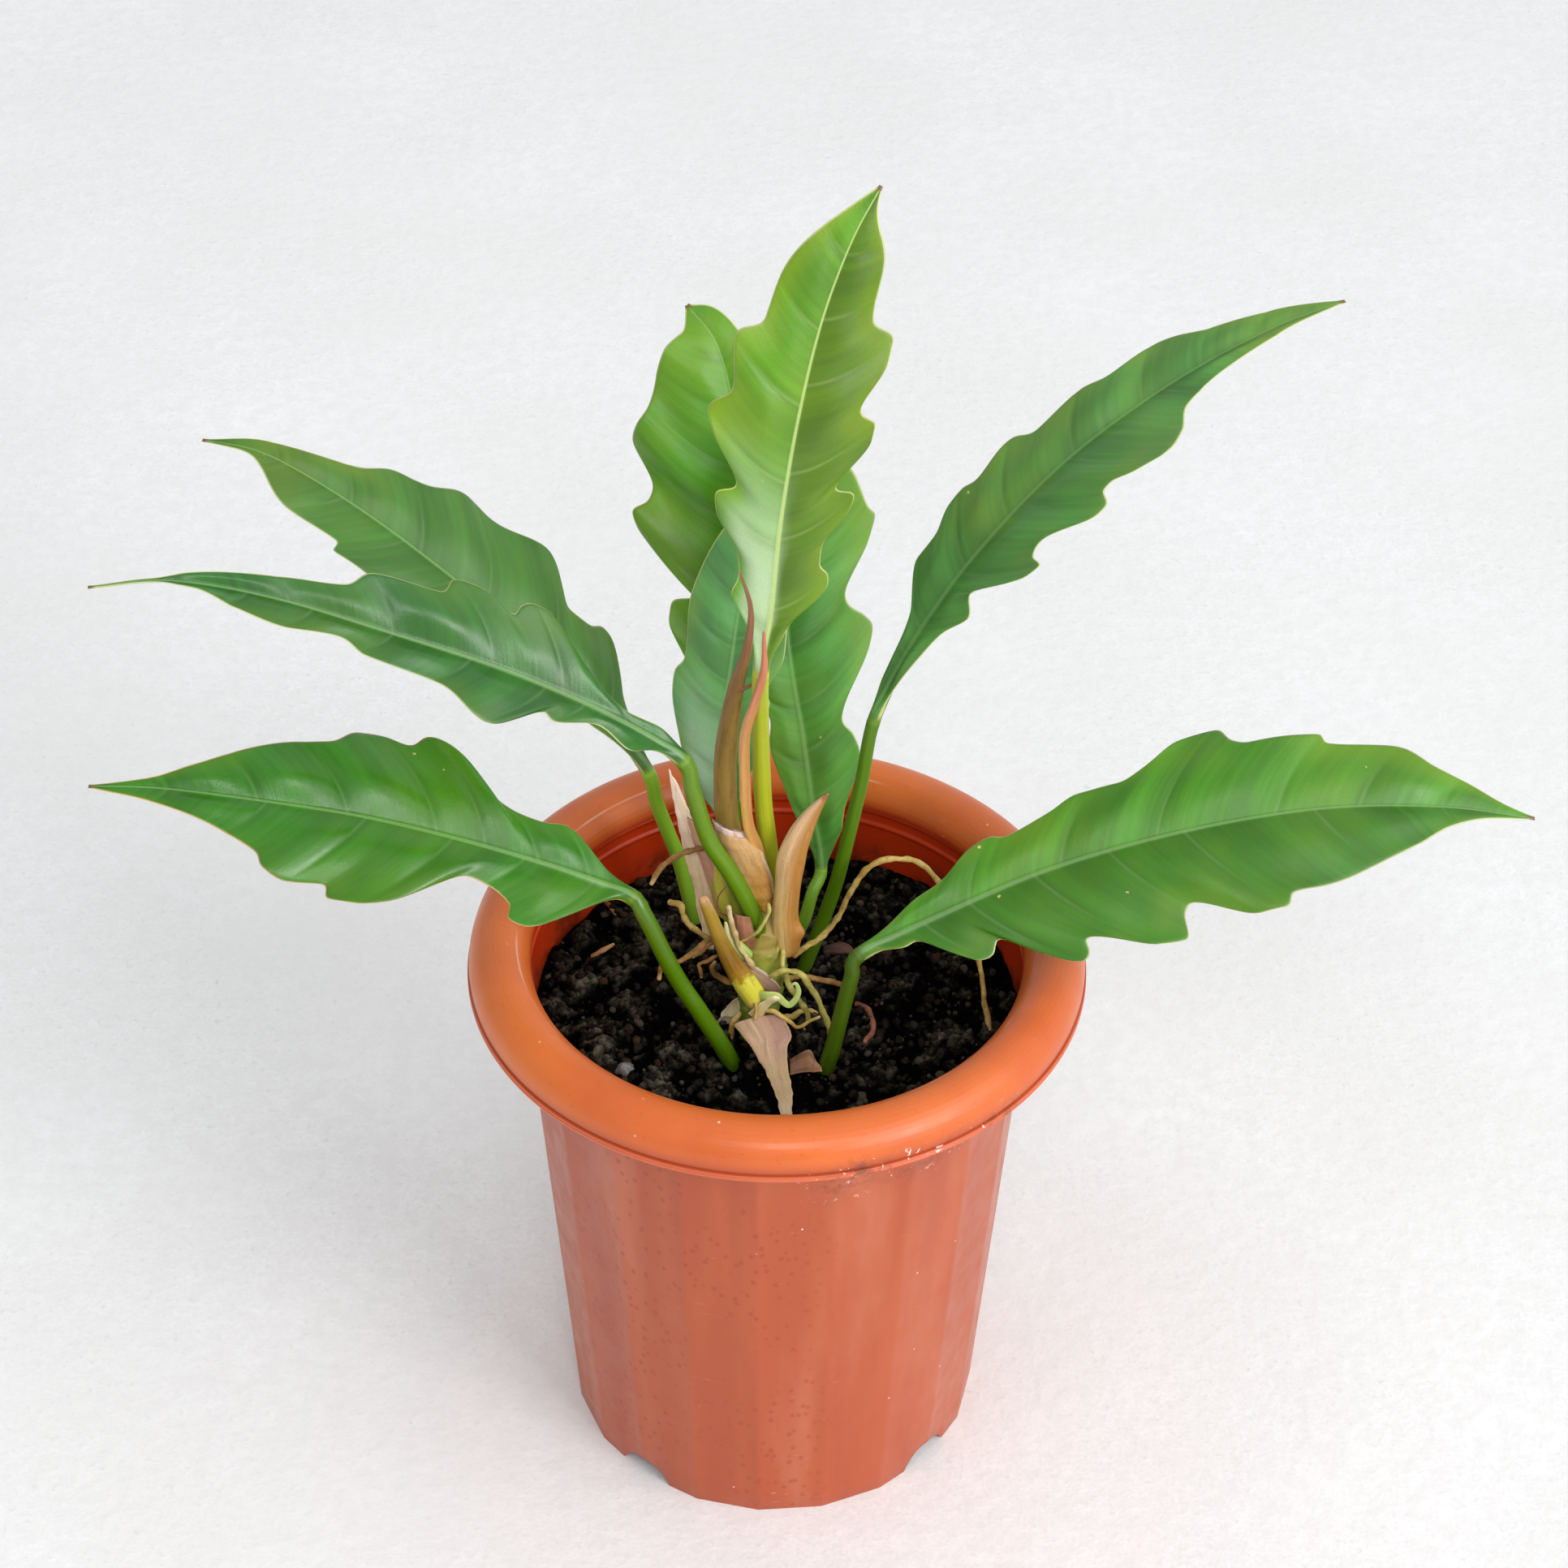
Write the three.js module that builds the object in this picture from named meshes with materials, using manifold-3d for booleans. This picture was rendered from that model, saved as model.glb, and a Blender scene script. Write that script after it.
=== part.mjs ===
// A potted jungle boogie philodendron. Nine toothed leaves rise from a short stem in a
// terracotta-coloured plastic pot of dark soil, among rolled new leaves, dried sheaths and
// aerial roots. Millimetres, +Z up. The origin is on the pot's axis at the ground, and the
// plant's front faces -Y.
import * as THREE from 'three';
import { mergeVertices } from 'three/addons/utils/BufferGeometryUtils.js';
import Module from 'manifold-3d';

const wasm = await Module();
wasm.setup();

// Gap between neighbouring pieces
const GAP = 0.3;

// Pot: a rolled rim over a body of flat facets, on a skirt with arched notches
const POT_HEIGHT = 213;
const POT_SEGMENTS = 40;
const WALL = 2;
const FOOT_RADIUS = 72.1;
const BODY_TOP_RADIUS = 87.2;
const BODY_TOP = 197;
const FACETS = 20;
const FACET_START = THREE.MathUtils.degToRad(-3.8);
const FACET_CORNER = 1.006;
const ROLL = { radius: 94.4, across: 10.6, up: 11.3, steps: 7 };
const LIP = { radius: 105.6, top: 199.3 };
const INNER_RINGS = [200, 194.5];
const RING_PROUD = 0.7;
const FLOOR = { under: 10, top: 12.5 };
const CENTRE_FOOT = { radius: 20, slope: 4 };
const NOTCH = { count: 4, width: 22, height: 9, start: THREE.MathUtils.degToRad(50.2) };
const DRAIN = { count: 8, radius: 4, circle: 48 };

// Soil: its mean level, the gap to the wall, and the height of its lumps
const SOIL_LEVEL = 177;
const SOIL_GAP = 0.4;
const SOIL_RINGS = 8;
const SOIL_SEGMENTS = 36;
const SOIL_LUMP = 1.3;

// Leaves: the side veins sweep forward by this angle, and the rows of the blade follow them
const VEIN_SWEEP = THREE.MathUtils.degToRad(38);
const BLADE_THICKNESS = 0.9;
const BLADE_ARCH = 0.1;
const RIPPLE = { height: 1.5, count: 4 };
const PETIOLE_RADIUS = { foot: 3.5, blade: 3 };
const RIB_RADIUS = { base: 2.6, tip: 0.5 };
const PETIOLE_STEP = 12;
const LONGEST_ROW_STEP = 0.07;
const BLEND_END = 0.05;

// Each leaf: the route of its stalk from foot to blade, the midrib from there to the tip,
// the way the blade faces at its base and tip, the fold along the rib in degrees, and its
// toothed edges as [share of the midrib, reach along the vein], seen from foot to tip
const LEAVES = {
  leaf_front_left: {
    petiole: [[-13, -29, 164], [-15, -28, 177], [-25, -28, 199], [-32, -27, 212], [-37, -26, 223], [-44, -24, 240]],
    midrib: [[-49, -22, 247], [-69, -21, 256], [-100, -20, 267], [-135, -18, 276], [-170, -17, 282],
      [-201, -15, 285], [-225, -14, 285]],
    face: [[0, -0.45, 1], [0.1, -0.45, 1]],
    fold: 10,
    left: [[0.02, 9], [0.03, 24], [0.07, 32], [0.11, 30], [0.13, 24], [0.25, 16], [0.3, 37], [0.34, 41],
      [0.4, 40], [0.43, 34], [0.5, 36], [0.56, 32], [0.6, 25], [0.84, 8]],
    right: [[0.04, 8], [0.06, 16], [0.08, 20], [0.13, 18], [0.21, 22], [0.22, 32], [0.25, 40], [0.28, 42],
      [0.33, 37], [0.37, 40], [0.42, 38], [0.49, 30], [0.57, 28], [0.78, 12], [0.89, 4]],
  },
  leaf_mid_left: {
    petiole: [[-4, -6, 204], [-6, -6, 217], [-10, -6, 230], [-16, -6, 244], [-23, -6, 258], [-28, -5, 277]],
    midrib: [[-32, -4, 291], [-53, -5, 308], [-86, -6, 327], [-123, -8, 344], [-161, -9, 359],
      [-193, -11, 367], [-218, -12, 365]],
    face: [[0.1, -0.5, 1], [0.25, -0.5, 1]],
    fold: 20,
    left: [[0.04, 6], [0.06, 13], [0.14, 8], [0.19, 16], [0.22, 13], [0.24, 29], [0.26, 30], [0.39, 18],
      [0.51, 16], [0.57, 11], [0.65, 14], [0.74, 10], [0.83, 3]],
    right: [[0.03, 6], [0.1, 5], [0.13, 7], [0.18, 20], [0.2, 30], [0.23, 31], [0.26, 28], [0.28, 23],
      [0.31, 30], [0.35, 32], [0.39, 24], [0.51, 22], [0.57, 14], [0.67, 10], [0.84, 5]],
  },
  leaf_upper_left: {
    petiole: [[-27, 44, 164], [-29, 44, 177], [-34, 43, 205], [-38, 42, 220], [-42, 42, 234]],
    midrib: [[-45, 42, 248], [-59, 47, 268], [-83, 54, 292], [-112, 63, 315], [-143, 74, 335],
      [-172, 83, 349], [-194, 90, 350]],
    face: [[0.45, -0.4, 0.8], [0.4, -0.4, 0.8]],
    fold: 12,
    left: [[0.04, 5], [0.12, 12], [0.2, 16], [0.25, 13], [0.31, 24], [0.38, 26], [0.43, 20], [0.5, 27],
      [0.6, 28], [0.62, 22], [0.73, 21], [0.92, 2]],
    right: [[0.07, 8], [0.1, 15], [0.11, 28], [0.13, 31], [0.17, 26], [0.23, 24], [0.25, 37], [0.27, 40],
      [0.38, 37], [0.42, 38], [0.54, 28], [0.6, 26], [0.69, 16], [0.92, 4]],
  },
  leaf_back_left: {
    petiole: [[-12, 33, 164], [-13, 34, 178], [-15, 40, 208], [-16, 45, 234]],
    midrib: [[-17, 50, 258], [-16, 58, 274], [-14, 71, 299], [-14, 85, 327], [-16, 98, 355],
      [-22, 109, 377], [-32, 118, 387]],
    face: [[0, -0.8, 0.6], [0, -0.6, 0.8]],
    fold: 8,
    left: [[0.04, 10], [0.08, 22], [0.13, 30], [0.16, 30], [0.24, 19], [0.25, 44], [0.3, 48], [0.37, 40],
      [0.41, 38], [0.48, 46], [0.53, 44], [0.6, 38], [0.81, 24], [0.93, 8]],
    right: [[0.04, 10], [0.08, 22], [0.16, 26], [0.22, 20], [0.27, 32], [0.34, 36], [0.4, 28], [0.47, 37],
      [0.55, 38], [0.62, 30], [0.74, 24], [0.86, 11], [0.93, 8]],
  },
  leaf_top_centre: {
    petiole: [[-3, 3, 214], [-3, 4, 226], [-3, 4, 244], [-5, 4, 266], [-6, 4, 294]],
    midrib: [[-6, 4, 322], [-3, 8, 343], [0, 14, 375], [5, 20, 409], [12, 30, 439], [21, 39, 463],
      [30, 46, 479]],
    face: [[0.1, -1, 0.3], [0.05, -0.9, 0.5]],
    fold: 8,
    left: [[0.05, 7], [0.09, 18], [0.15, 15], [0.19, 16], [0.23, 26], [0.27, 28], [0.32, 20], [0.37, 32],
      [0.4, 36], [0.48, 28], [0.52, 30], [0.56, 32], [0.63, 22], [0.72, 21], [0.93, 6]],
    right: [[0.04, 6], [0.08, 9], [0.11, 22], [0.13, 22], [0.17, 18], [0.21, 18], [0.25, 27], [0.28, 29],
      [0.33, 20], [0.38, 32], [0.42, 32], [0.49, 24], [0.56, 31], [0.6, 31], [0.68, 20], [0.81, 16],
      [0.97, 2]],
  },
  leaf_inner_left: {
    petiole: [[-12, 11, 164], [-13, 11, 180], [-15, 12, 208], [-16, 16, 226]],
    midrib: [[-18, 22, 242], [-19, 25, 257], [-19, 29, 278], [-16, 34, 302], [-13, 41, 324],
      [-9, 47, 342], [-7, 52, 355]],
    face: [[-0.2, -1, 0.3], [0, -0.9, 0.5]],
    fold: 8,
    left: [[0.08, 14], [0.2, 19], [0.35, 23], [0.4, 20], [0.56, 21], [0.7, 18], [0.82, 14], [0.93, 6]],
    right: [[0.08, 12], [0.2, 18], [0.3, 20], [0.36, 17], [0.45, 22], [0.6, 21], [0.66, 16], [0.8, 14],
      [0.93, 6]],
  },
  leaf_inner_right: {
    petiole: [[2, 30, 164], [3, 28, 178], [9, 28, 192], [12, 31, 203]],
    midrib: [[15, 36, 210], [12, 40, 231], [8, 46, 261], [3, 52, 294], [2, 61, 324], [5, 68, 349],
      [11, 74, 368]],
    face: [[0, -0.9, 0.5], [0, -0.8, 0.6]],
    fold: 8,
    left: [[0.04, 4], [0.14, 10], [0.25, 15], [0.32, 13], [0.4, 20], [0.5, 26], [0.55, 20], [0.65, 26],
      [0.72, 24], [0.85, 16], [0.95, 5]],
    right: [[0.02, 9], [0.08, 14], [0.14, 22], [0.17, 24], [0.23, 22], [0.28, 18], [0.31, 21], [0.36, 35],
      [0.39, 38], [0.44, 35], [0.54, 26], [0.61, 36], [0.66, 38], [0.71, 34], [0.85, 22], [0.95, 7]],
  },
  leaf_upper_right: {
    petiole: [[8, 17, 164], [9, 17, 178], [15, 19, 198], [20, 20, 217], [24, 21, 238], [28, 23, 260]],
    midrib: [[32, 25, 286], [43, 32, 309], [64, 42, 340], [93, 54, 370], [127, 70, 390], [159, 84, 402],
      [184, 94, 407]],
    face: [[-0.5, -0.3, 0.8], [-0.4, -0.3, 0.9]],
    fold: 14,
    left: [[0.02, 4], [0.08, 5], [0.15, 11], [0.16, 24], [0.22, 23], [0.25, 27], [0.28, 27], [0.32, 24],
      [0.38, 28], [0.44, 22], [0.52, 23], [0.58, 20], [0.65, 22], [0.76, 14], [0.95, 4]],
    right: [[0.04, 5], [0.1, 10], [0.15, 14], [0.17, 22], [0.23, 14], [0.24, 36], [0.27, 38], [0.29, 30],
      [0.33, 26], [0.39, 36], [0.41, 36], [0.44, 30], [0.46, 30], [0.47, 34], [0.51, 37], [0.58, 29],
      [0.65, 17], [0.79, 9], [0.92, 3]],
  },
  leaf_front_right: {
    petiole: [[16, -31, 164], [17, -30, 177], [19, -30, 186], [22, -28, 201], [25, -25, 214]],
    midrib: [[28, -22, 222], [53, -16, 233], [91, -8, 248], [136, -3, 261], [181, 2, 267],
      [221, 7, 264], [253, 10, 257]],
    face: [[-0.1, -0.5, 0.9], [0, -0.45, 1]],
    fold: 8,
    left: [[0.04, 6], [0.07, 11], [0.11, 14], [0.14, 22], [0.17, 24], [0.2, 21], [0.26, 24], [0.29, 28],
      [0.35, 28], [0.38, 34], [0.4, 42], [0.45, 45], [0.49, 37], [0.52, 34], [0.62, 34], [0.63, 30],
      [0.73, 28], [0.81, 18], [0.87, 12], [0.94, 5]],
    right: [[0.02, 3], [0.04, 7], [0.07, 6], [0.08, 25], [0.1, 26], [0.14, 20], [0.15, 36], [0.17, 44],
      [0.19, 42], [0.21, 36], [0.27, 49], [0.32, 48], [0.37, 35], [0.39, 32], [0.45, 44], [0.49, 44],
      [0.52, 38], [0.57, 36], [0.69, 27], [0.76, 20], [0.85, 9], [0.93, 3]],
  },
};

// The rest of the plant: the route of each piece, its width at each point of the route, its
// thickness as a share of that width, and the side that its flat faces
const FRONT = [0, -1, 0.3];
const STEM = {
  path: [[-6, -18, 164], [-6, -16, 180], [-6, -11, 192], [-5, -5, 206], [-4, 0, 218], [-3, 2, 225]],
  width: [13, 13, 14, 17, 18, 11],
  flat: 0.95,
  face: FRONT,
};
const NEW_LEAVES = {
  new_leaf_olive: {
    path: [[-6, 4, 214], [-12, 8, 230], [-17, 12, 250], [-18, 14, 268], [-17, 15, 288], [-14, 16, 305],
      [-10, 18, 323], [-10, 19, 336], [-14, 20, 348]],
    width: [5, 6, 6.5, 6.5, 6.5, 6, 5, 3.5, 1],
    flat: 0.7,
    face: FRONT,
  },
  new_leaf_pink: {
    path: [[-4, -1, 226], [-5, 0, 240], [-7, -1, 251], [-10, -2, 262], [-11, -2, 280], [-11, -2, 299],
      [-8, -2, 312], [-5, -3, 327], [-5, -3, 343]],
    width: [3.5, 3.6, 3.8, 3.8, 3.6, 3.4, 3, 2.2, 0.8],
    flat: 0.8,
    face: FRONT,
  },
};
const SHEATHS = {
  sheath_centre: {
    path: [[-4, -2, 214], [-6, 0, 233], [-10, 1, 247], [-15, 2, 258], [-18, 2, 264]],
    width: [15, 14, 11, 8, 4],
    flat: 0.4,
    face: FRONT,
  },
  sheath_right: {
    path: [[4, -7, 200], [4, -5, 220], [4, -4, 237], [7, -3, 252], [12, -3, 264], [17, -3, 272]],
    width: [7, 9, 9, 8, 5, 1.4],
    flat: 0.65,
    face: FRONT,
  },
  sheath_left: {
    path: [[-17, 10, 190], [-22, 14, 204], [-28, 16, 223], [-31, 17, 238], [-34, 18, 253], [-37, 18, 267]],
    width: [7, 9, 10, 10, 9, 5],
    flat: 0.25,
    face: FRONT,
  },
  sheath_low: {
    path: [[-8, -17, 187], [-10, -17, 201], [-14, -16, 213], [-19, -16, 225], [-23, -16, 235],
      [-26, -16, 242]],
    width: [6, 6, 5.5, 5, 3.8, 1.4],
    flat: 0.7,
    face: FRONT,
  },
};
const SCRAPS = {
  dry_flap: {
    path: [[-6, -25, 189], [-4, -31, 186], [-2, -38, 181], [2, -45, 178.6], [4, -53, 178.2]],
    width: [18, 16, 11, 7, 1.6],
    flat: 0.12,
    face: [0, -0.4, 1],
  },
  dry_scrap_left: {
    path: [[-15, -10, 177.5], [-14, -10, 184], [-13, -10, 191]],
    width: [8, 7, 1.6],
    flat: 0.22,
    face: FRONT,
  },
  dry_scrap_right: {
    path: [[5, -33, 178], [10, -29, 179.5], [15, -32, 178.4]],
    width: [2.5, 6, 2.4],
    flat: 0.35,
    face: [0, 0, 1],
  },
  bark_chip: {
    path: [[16, 29, 178], [22, 28, 179.4], [28, 26, 178.2]],
    width: [3, 5, 3],
    flat: 0.6,
    face: [0, 0, 1],
  },
  twig_left: {
    path: [[-65, 25, 177.2], [-61, 28, 177.8], [-57, 32, 177.2]],
    width: [1.6, 1.8, 1.4],
    flat: 1,
    face: [0, 0, 1],
  },
  twig_back: {
    path: [[-61, 53, 178.3], [-59, 50, 179], [-57, 46, 178.3]],
    width: [1.6, 1.8, 1.4],
    flat: 1,
    face: [0, 0, 1],
  },
};
const ROOT_WIDTH = 2.5;
const ROOTS = {
  aerial_root_1: [[-8, 2, 238], [-13, 4.5, 243], [-19, 7, 245], [-25, 8, 243], [-32, 8, 240], [-38, 7, 236],
    [-43, 4, 229]],
  aerial_root_2: [[-37, 0, 225], [-33, -2, 226], [-31, -3, 220], [-27, -3, 215], [-20, -4, 210], [-11, -4, 207]],
  aerial_root_3: [[-12, -8, 212], [-18, -10, 219], [-23, -12, 219], [-28, -13, 214], [-34, -14, 210],
    [-38, -14, 209], [-40, -15, 203]],
  aerial_root_4: [[5, 3, 198], [15, 8, 203], [20, 9, 209], [24, 10, 219], [29, 11, 229], [35, 12, 234],
    [42, 12, 235], [49, 10, 234], [56, 7, 227], [64, 1, 216], [69, -5, 203], [71, -9, 190], [73, -12, 176]],
  aerial_root_5: [[1, -11, 204], [6, -13, 206], [12, -16, 201], [15, -17, 195], [18, -19, 186], [17, -22, 176]],
  aerial_root_6: [[0, -15, 197], [5, -13, 196], [8, -14, 190], [10, -15, 184], [11, -17, 175]],
  aerial_root_7: [[1, -16, 187], [6, -12, 185], [11, -7, 182], [16, -3, 176]],
  aerial_root_8: [[2, 0, 190], [7, 7, 185], [13, 11, 181], [22, 10, 179], [26, 9, 176]],
  aerial_root_9: [[-11, -7, 194], [-16, -5, 193.5], [-20, -4, 195], [-22, -5, 199], [-21, -5, 203]],
  aerial_root_10: [[-12, -15, 189], [-15, -17, 185], [-16, -18, 176]],
  aerial_root_11: [[27, 1, 178.6], [31, -3, 179.4], [33, -12, 179.4], [30, -19, 178.6]],
  aerial_root_12: [[-17, -10, 231], [-15, -11, 222], [-12, -12, 213], [-8, -10, 206]],
};
const PEBBLE = { place: [-51, -33, 178], radius: 3.4 };

const COLOURS = {
  pot: 0xc8603f,
  soil: 0x1f1a17,
  stem: 0x7fa046,
  leaf: 0x3f7d33,
  pale_leaf: 0x6f9c38,
  olive: 0x8a7a46,
  pink: 0xc98a66,
  sheath: 0xc9a184,
  scrap: 0x9a8468,
  root: 0xb39a52,
  bark: 0x5a3b27,
  pebble: 0x77726c,
};

const part = new THREE.Group();
const carved = [];

function vector(point) {
  return new THREE.Vector3(...point);
}

// A smooth route through the points, with its length up to one of them
function route(points) {
  const curve = new THREE.CatmullRomCurve3(points.map(vector), false, 'catmullrom', 0.5);
  curve.arcLengthDivisions = (points.length - 1) * 20;
  return curve;
}

// Axes across a route: along it, out of the face, and to the right of someone who walks it
function axesAt(curve, share, face) {
  const along = curve.getTangentAt(share);
  const out = face.clone().addScaledVector(along, -face.dot(along)).normalize();
  const right = new THREE.Vector3().crossVectors(along, out);
  return { along, out, right };
}

// A closed skin over rings of points, with a flat fan at each end. inner[k] is how near the
// middle point k of a ring lies, so that both faces of a blade are split the same way.
function skin(rings, inner) {
  const count = rings[0].length;
  const points = rings.flat();
  const faces = [];
  for (let i = 0; i < rings.length - 1; i += 1) {
    for (let k = 0; k < count; k += 1) {
      const next = (k + 1) % count;
      const [a, b] = [i * count + k, i * count + next];
      const [c, d] = [a + count, b + count];
      if (inner[k] <= inner[next]) faces.push(a, b, d, a, d, c);
      else faces.push(a, b, c, b, d, c);
    }
  }
  const last = (rings.length - 1) * count;
  for (let k = 1; k < count - 1; k += 1) {
    faces.push(0, k + 1, k);
    faces.push(last, last + k, last + k + 1);
  }
  return solidFrom(new Float32Array(points.flatMap((p) => [p.x, p.y, p.z])), new Uint32Array(faces));
}

// A manifold solid with its faces pointing out
function solidFrom(vertProperties, triVerts) {
  const solid = new wasm.Manifold(new wasm.Mesh({ numProp: 3, vertProperties, triVerts }));
  if (solid.volume() > 0) return solid;
  const turned = new Uint32Array(triVerts.length);
  for (let i = 0; i < triVerts.length; i += 3) {
    turned.set([triVerts[i], triVerts[i + 2], triVerts[i + 1]], i);
  }
  return new wasm.Manifold(new wasm.Mesh({ numProp: 3, vertProperties, triVerts: turned }));
}

function solidOf(geometry) {
  const bare = geometry.clone();
  bare.deleteAttribute('normal');
  bare.deleteAttribute('uv');
  const merged = mergeVertices(bare, 1e-3);
  return solidFrom(new Float32Array(merged.attributes.position.array), new Uint32Array(merged.index.array));
}

function geometryOf(solid) {
  const mesh = solid.getMesh();
  const geometry = new THREE.BufferGeometry();
  geometry.setAttribute('position', new THREE.BufferAttribute(new Float32Array(mesh.vertProperties), 3));
  geometry.setIndex(new THREE.BufferAttribute(new Uint32Array(mesh.triVerts), 1));
  geometry.computeVertexNormals();
  return geometry;
}

function add(name, solid, colour, roughness) {
  const material = new THREE.MeshStandardMaterial({ color: COLOURS[colour], roughness, metalness: 0 });
  const mesh = new THREE.Mesh(geometryOf(solid), material);
  mesh.name = name;
  part.add(mesh);
}

// What a later piece keeps clear of: the solid of an earlier one, grown by the gap
function keepClearOf(grown) {
  carved.push(grown);
}

function boxesMeet(a, b) {
  const [p, q] = [a.boundingBox(), b.boundingBox()];
  return [0, 1, 2].every((k) => p.min[k] <= q.max[k] && q.min[k] <= p.max[k]);
}

// The largest piece of a solid after everything earlier is cut out of it
function clearOfOthers(solid) {
  let left = solid;
  for (const grown of carved) {
    if (boxesMeet(left, grown)) left = left.subtract(grown);
  }
  const pieces = left.decompose();
  return pieces.reduce((most, piece) => (piece.volume() > most.volume() ? piece : most));
}

// Reach of a toothed edge at a share of the midrib, from its list of teeth and notches
function reachAt(edge, share) {
  const knots = [[0, PETIOLE_RADIUS.blade], ...edge, [1, 0.6]];
  const after = Math.max(1, knots.findIndex(([at]) => at >= share));
  const [[from, low], [to, high]] = [knots[after - 1], knots[after]];
  return low + ((high - low) * (share - from)) / (to - from);
}

// Shares of the midrib where the blade has a row: at each tooth and notch of both edges
function bladeRows(leaf) {
  const marks = [0, ...leaf.left.map(([at]) => at), ...leaf.right.map(([at]) => at), 0.98, 1];
  const sorted = [...new Set(marks)].sort((a, b) => a - b);
  const rows = [];
  sorted.forEach((mark, i) => {
    if (i > 0) {
      const gap = mark - sorted[i - 1];
      const parts = Math.ceil(gap / LONGEST_ROW_STEP - 1e-9);
      for (let k = 1; k < parts; k += 1) rows.push(sorted[i - 1] + (gap * k) / parts);
    }
    rows.push(mark);
  });
  return rows;
}

// Ten points round a stalk, in the order of the ten points round a row of the blade
const RING_SIDE = [0, 1, 1, 1, 1, 0, -1, -1, -1, -1];
const RING_SHARE = [0, 0.5, 1, 1, 0.5, 0, 0.5, 1, 1, 0.5];
const RING_FACE = [1, 1, 1, -1, -1, -1, -1, -1, 1, 1];

function stalkRing(centre, axes, radius) {
  return RING_SIDE.map((_, k) => {
    const turn = Math.PI / 2 - (k * Math.PI) / 5;
    return centre.clone()
      .addScaledVector(axes.right, radius * Math.cos(turn))
      .addScaledVector(axes.out, radius * Math.sin(turn));
  });
}

// A point of the blade: out along a vein that sweeps forward, folded up from the rib, arched
// down again towards the edge, and rippled
function bladePoint(centre, axes, share, reach, side, fold) {
  const phase = side > 0 ? 0.25 : 0;
  const ripple = RIPPLE.height * (reach / 30) ** 2 * Math.sin(2 * Math.PI * (RIPPLE.count * share + phase));
  const across = reach * Math.cos(VEIN_SWEEP);
  return centre.clone()
    .addScaledVector(axes.right, side * across * Math.cos(fold))
    .addScaledVector(axes.out, across * Math.sin(fold) + ripple - (BLADE_ARCH * reach * reach) / 30)
    .addScaledVector(axes.along, reach * Math.sin(VEIN_SWEEP));
}

function bladeRing(leaf, centre, axes, share) {
  const rib = THREE.MathUtils.lerp(RIB_RADIUS.base, RIB_RADIUS.tip, share ** 0.8);
  const half = BLADE_THICKNESS / 2;
  const fold = THREE.MathUtils.degToRad(leaf.fold);
  const reach = { 1: reachAt(leaf.right, share), '-1': reachAt(leaf.left, share) };
  return RING_SIDE.map((side, k) => {
    if (side === 0) return centre.clone().addScaledVector(axes.out, RING_FACE[k] > 0 ? half : -rib);
    const point = bladePoint(centre, axes, share, RING_SHARE[k] * reach[side], side, fold);
    return point.addScaledVector(axes.out, RING_FACE[k] * half);
  });
}

// A leaf: its stalk and blade are one body, and the round stalk turns into the blade's rib
function leafSolid(leaf, grow = 0, bladeToo = true) {
  const points = [...leaf.petiole, ...leaf.midrib];
  const curve = route(points);
  const lengths = curve.getLengths();
  const whole = lengths.at(-1);
  const stalk = lengths[leaf.petiole.length * 20];
  const [faceBase, faceTip] = leaf.face.map(vector);
  const rings = [];
  const stalkRows = Math.round(stalk / PETIOLE_STEP);
  for (let i = 0; i < stalkRows; i += 1) {
    const at = i / stalkRows;
    const radius = THREE.MathUtils.lerp(PETIOLE_RADIUS.foot, PETIOLE_RADIUS.blade, at) + grow;
    const share = (at * stalk) / whole;
    const axes = axesAt(curve, share, faceBase);
    const centre = curve.getPointAt(share);
    if (i === 0) centre.addScaledVector(axes.along, -grow);
    rings.push(stalkRing(centre, axes, radius));
  }
  const rows = bladeToo ? bladeRows(leaf) : [0];
  for (const row of rows) {
    const share = Math.min(1, (stalk + row * (whole - stalk)) / whole);
    const axes = axesAt(curve, share, faceBase.clone().lerp(faceTip, row));
    const centre = curve.getPointAt(share);
    const round = stalkRing(centre, axes, PETIOLE_RADIUS.blade + grow);
    const flat = bladeRing(leaf, centre, axes, row);
    const blend = Math.min(1, row / BLEND_END);
    rings.push(round.map((point, k) => point.lerp(flat[k], blend)));
  }
  return skin(rings, RING_SHARE);
}

// A piece along a route, oval across, with its width given at each point of the route
function strand({ path, width, flat, face }, sides, step, grow = 0) {
  const curve = route(path);
  const rows = Math.max(3, Math.round(curve.getLength() / step));
  const out = vector(face);
  const rings = [];
  for (let i = 0; i <= rows; i += 1) {
    const share = i / rows;
    const at = share * (width.length - 1);
    const low = Math.min(Math.floor(at), width.length - 2);
    const wide = THREE.MathUtils.lerp(width[low], width[low + 1], at - low);
    const axes = axesAt(curve, share, out);
    const centre = curve.getPointAt(share);
    if (i === 0) centre.addScaledVector(axes.along, -grow);
    if (i === rows) centre.addScaledVector(axes.along, grow);
    const ring = [];
    for (let k = 0; k < sides; k += 1) {
      const turn = (k * 2 * Math.PI) / sides;
      ring.push(centre.clone()
        .addScaledVector(axes.right, (wide / 2 + grow) * Math.cos(turn))
        .addScaledVector(axes.out, ((wide * flat) / 2 + grow) * Math.sin(turn)));
    }
    rings.push(ring);
  }
  return skin(rings, new Array(sides).fill(0));
}

function addStrand(name, shape, colour, roughness, sides, step) {
  add(name, clearOfOthers(strand(shape, sides, step)), colour, roughness);
  keepClearOf(strand(shape, sides, step, GAP));
}

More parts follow.
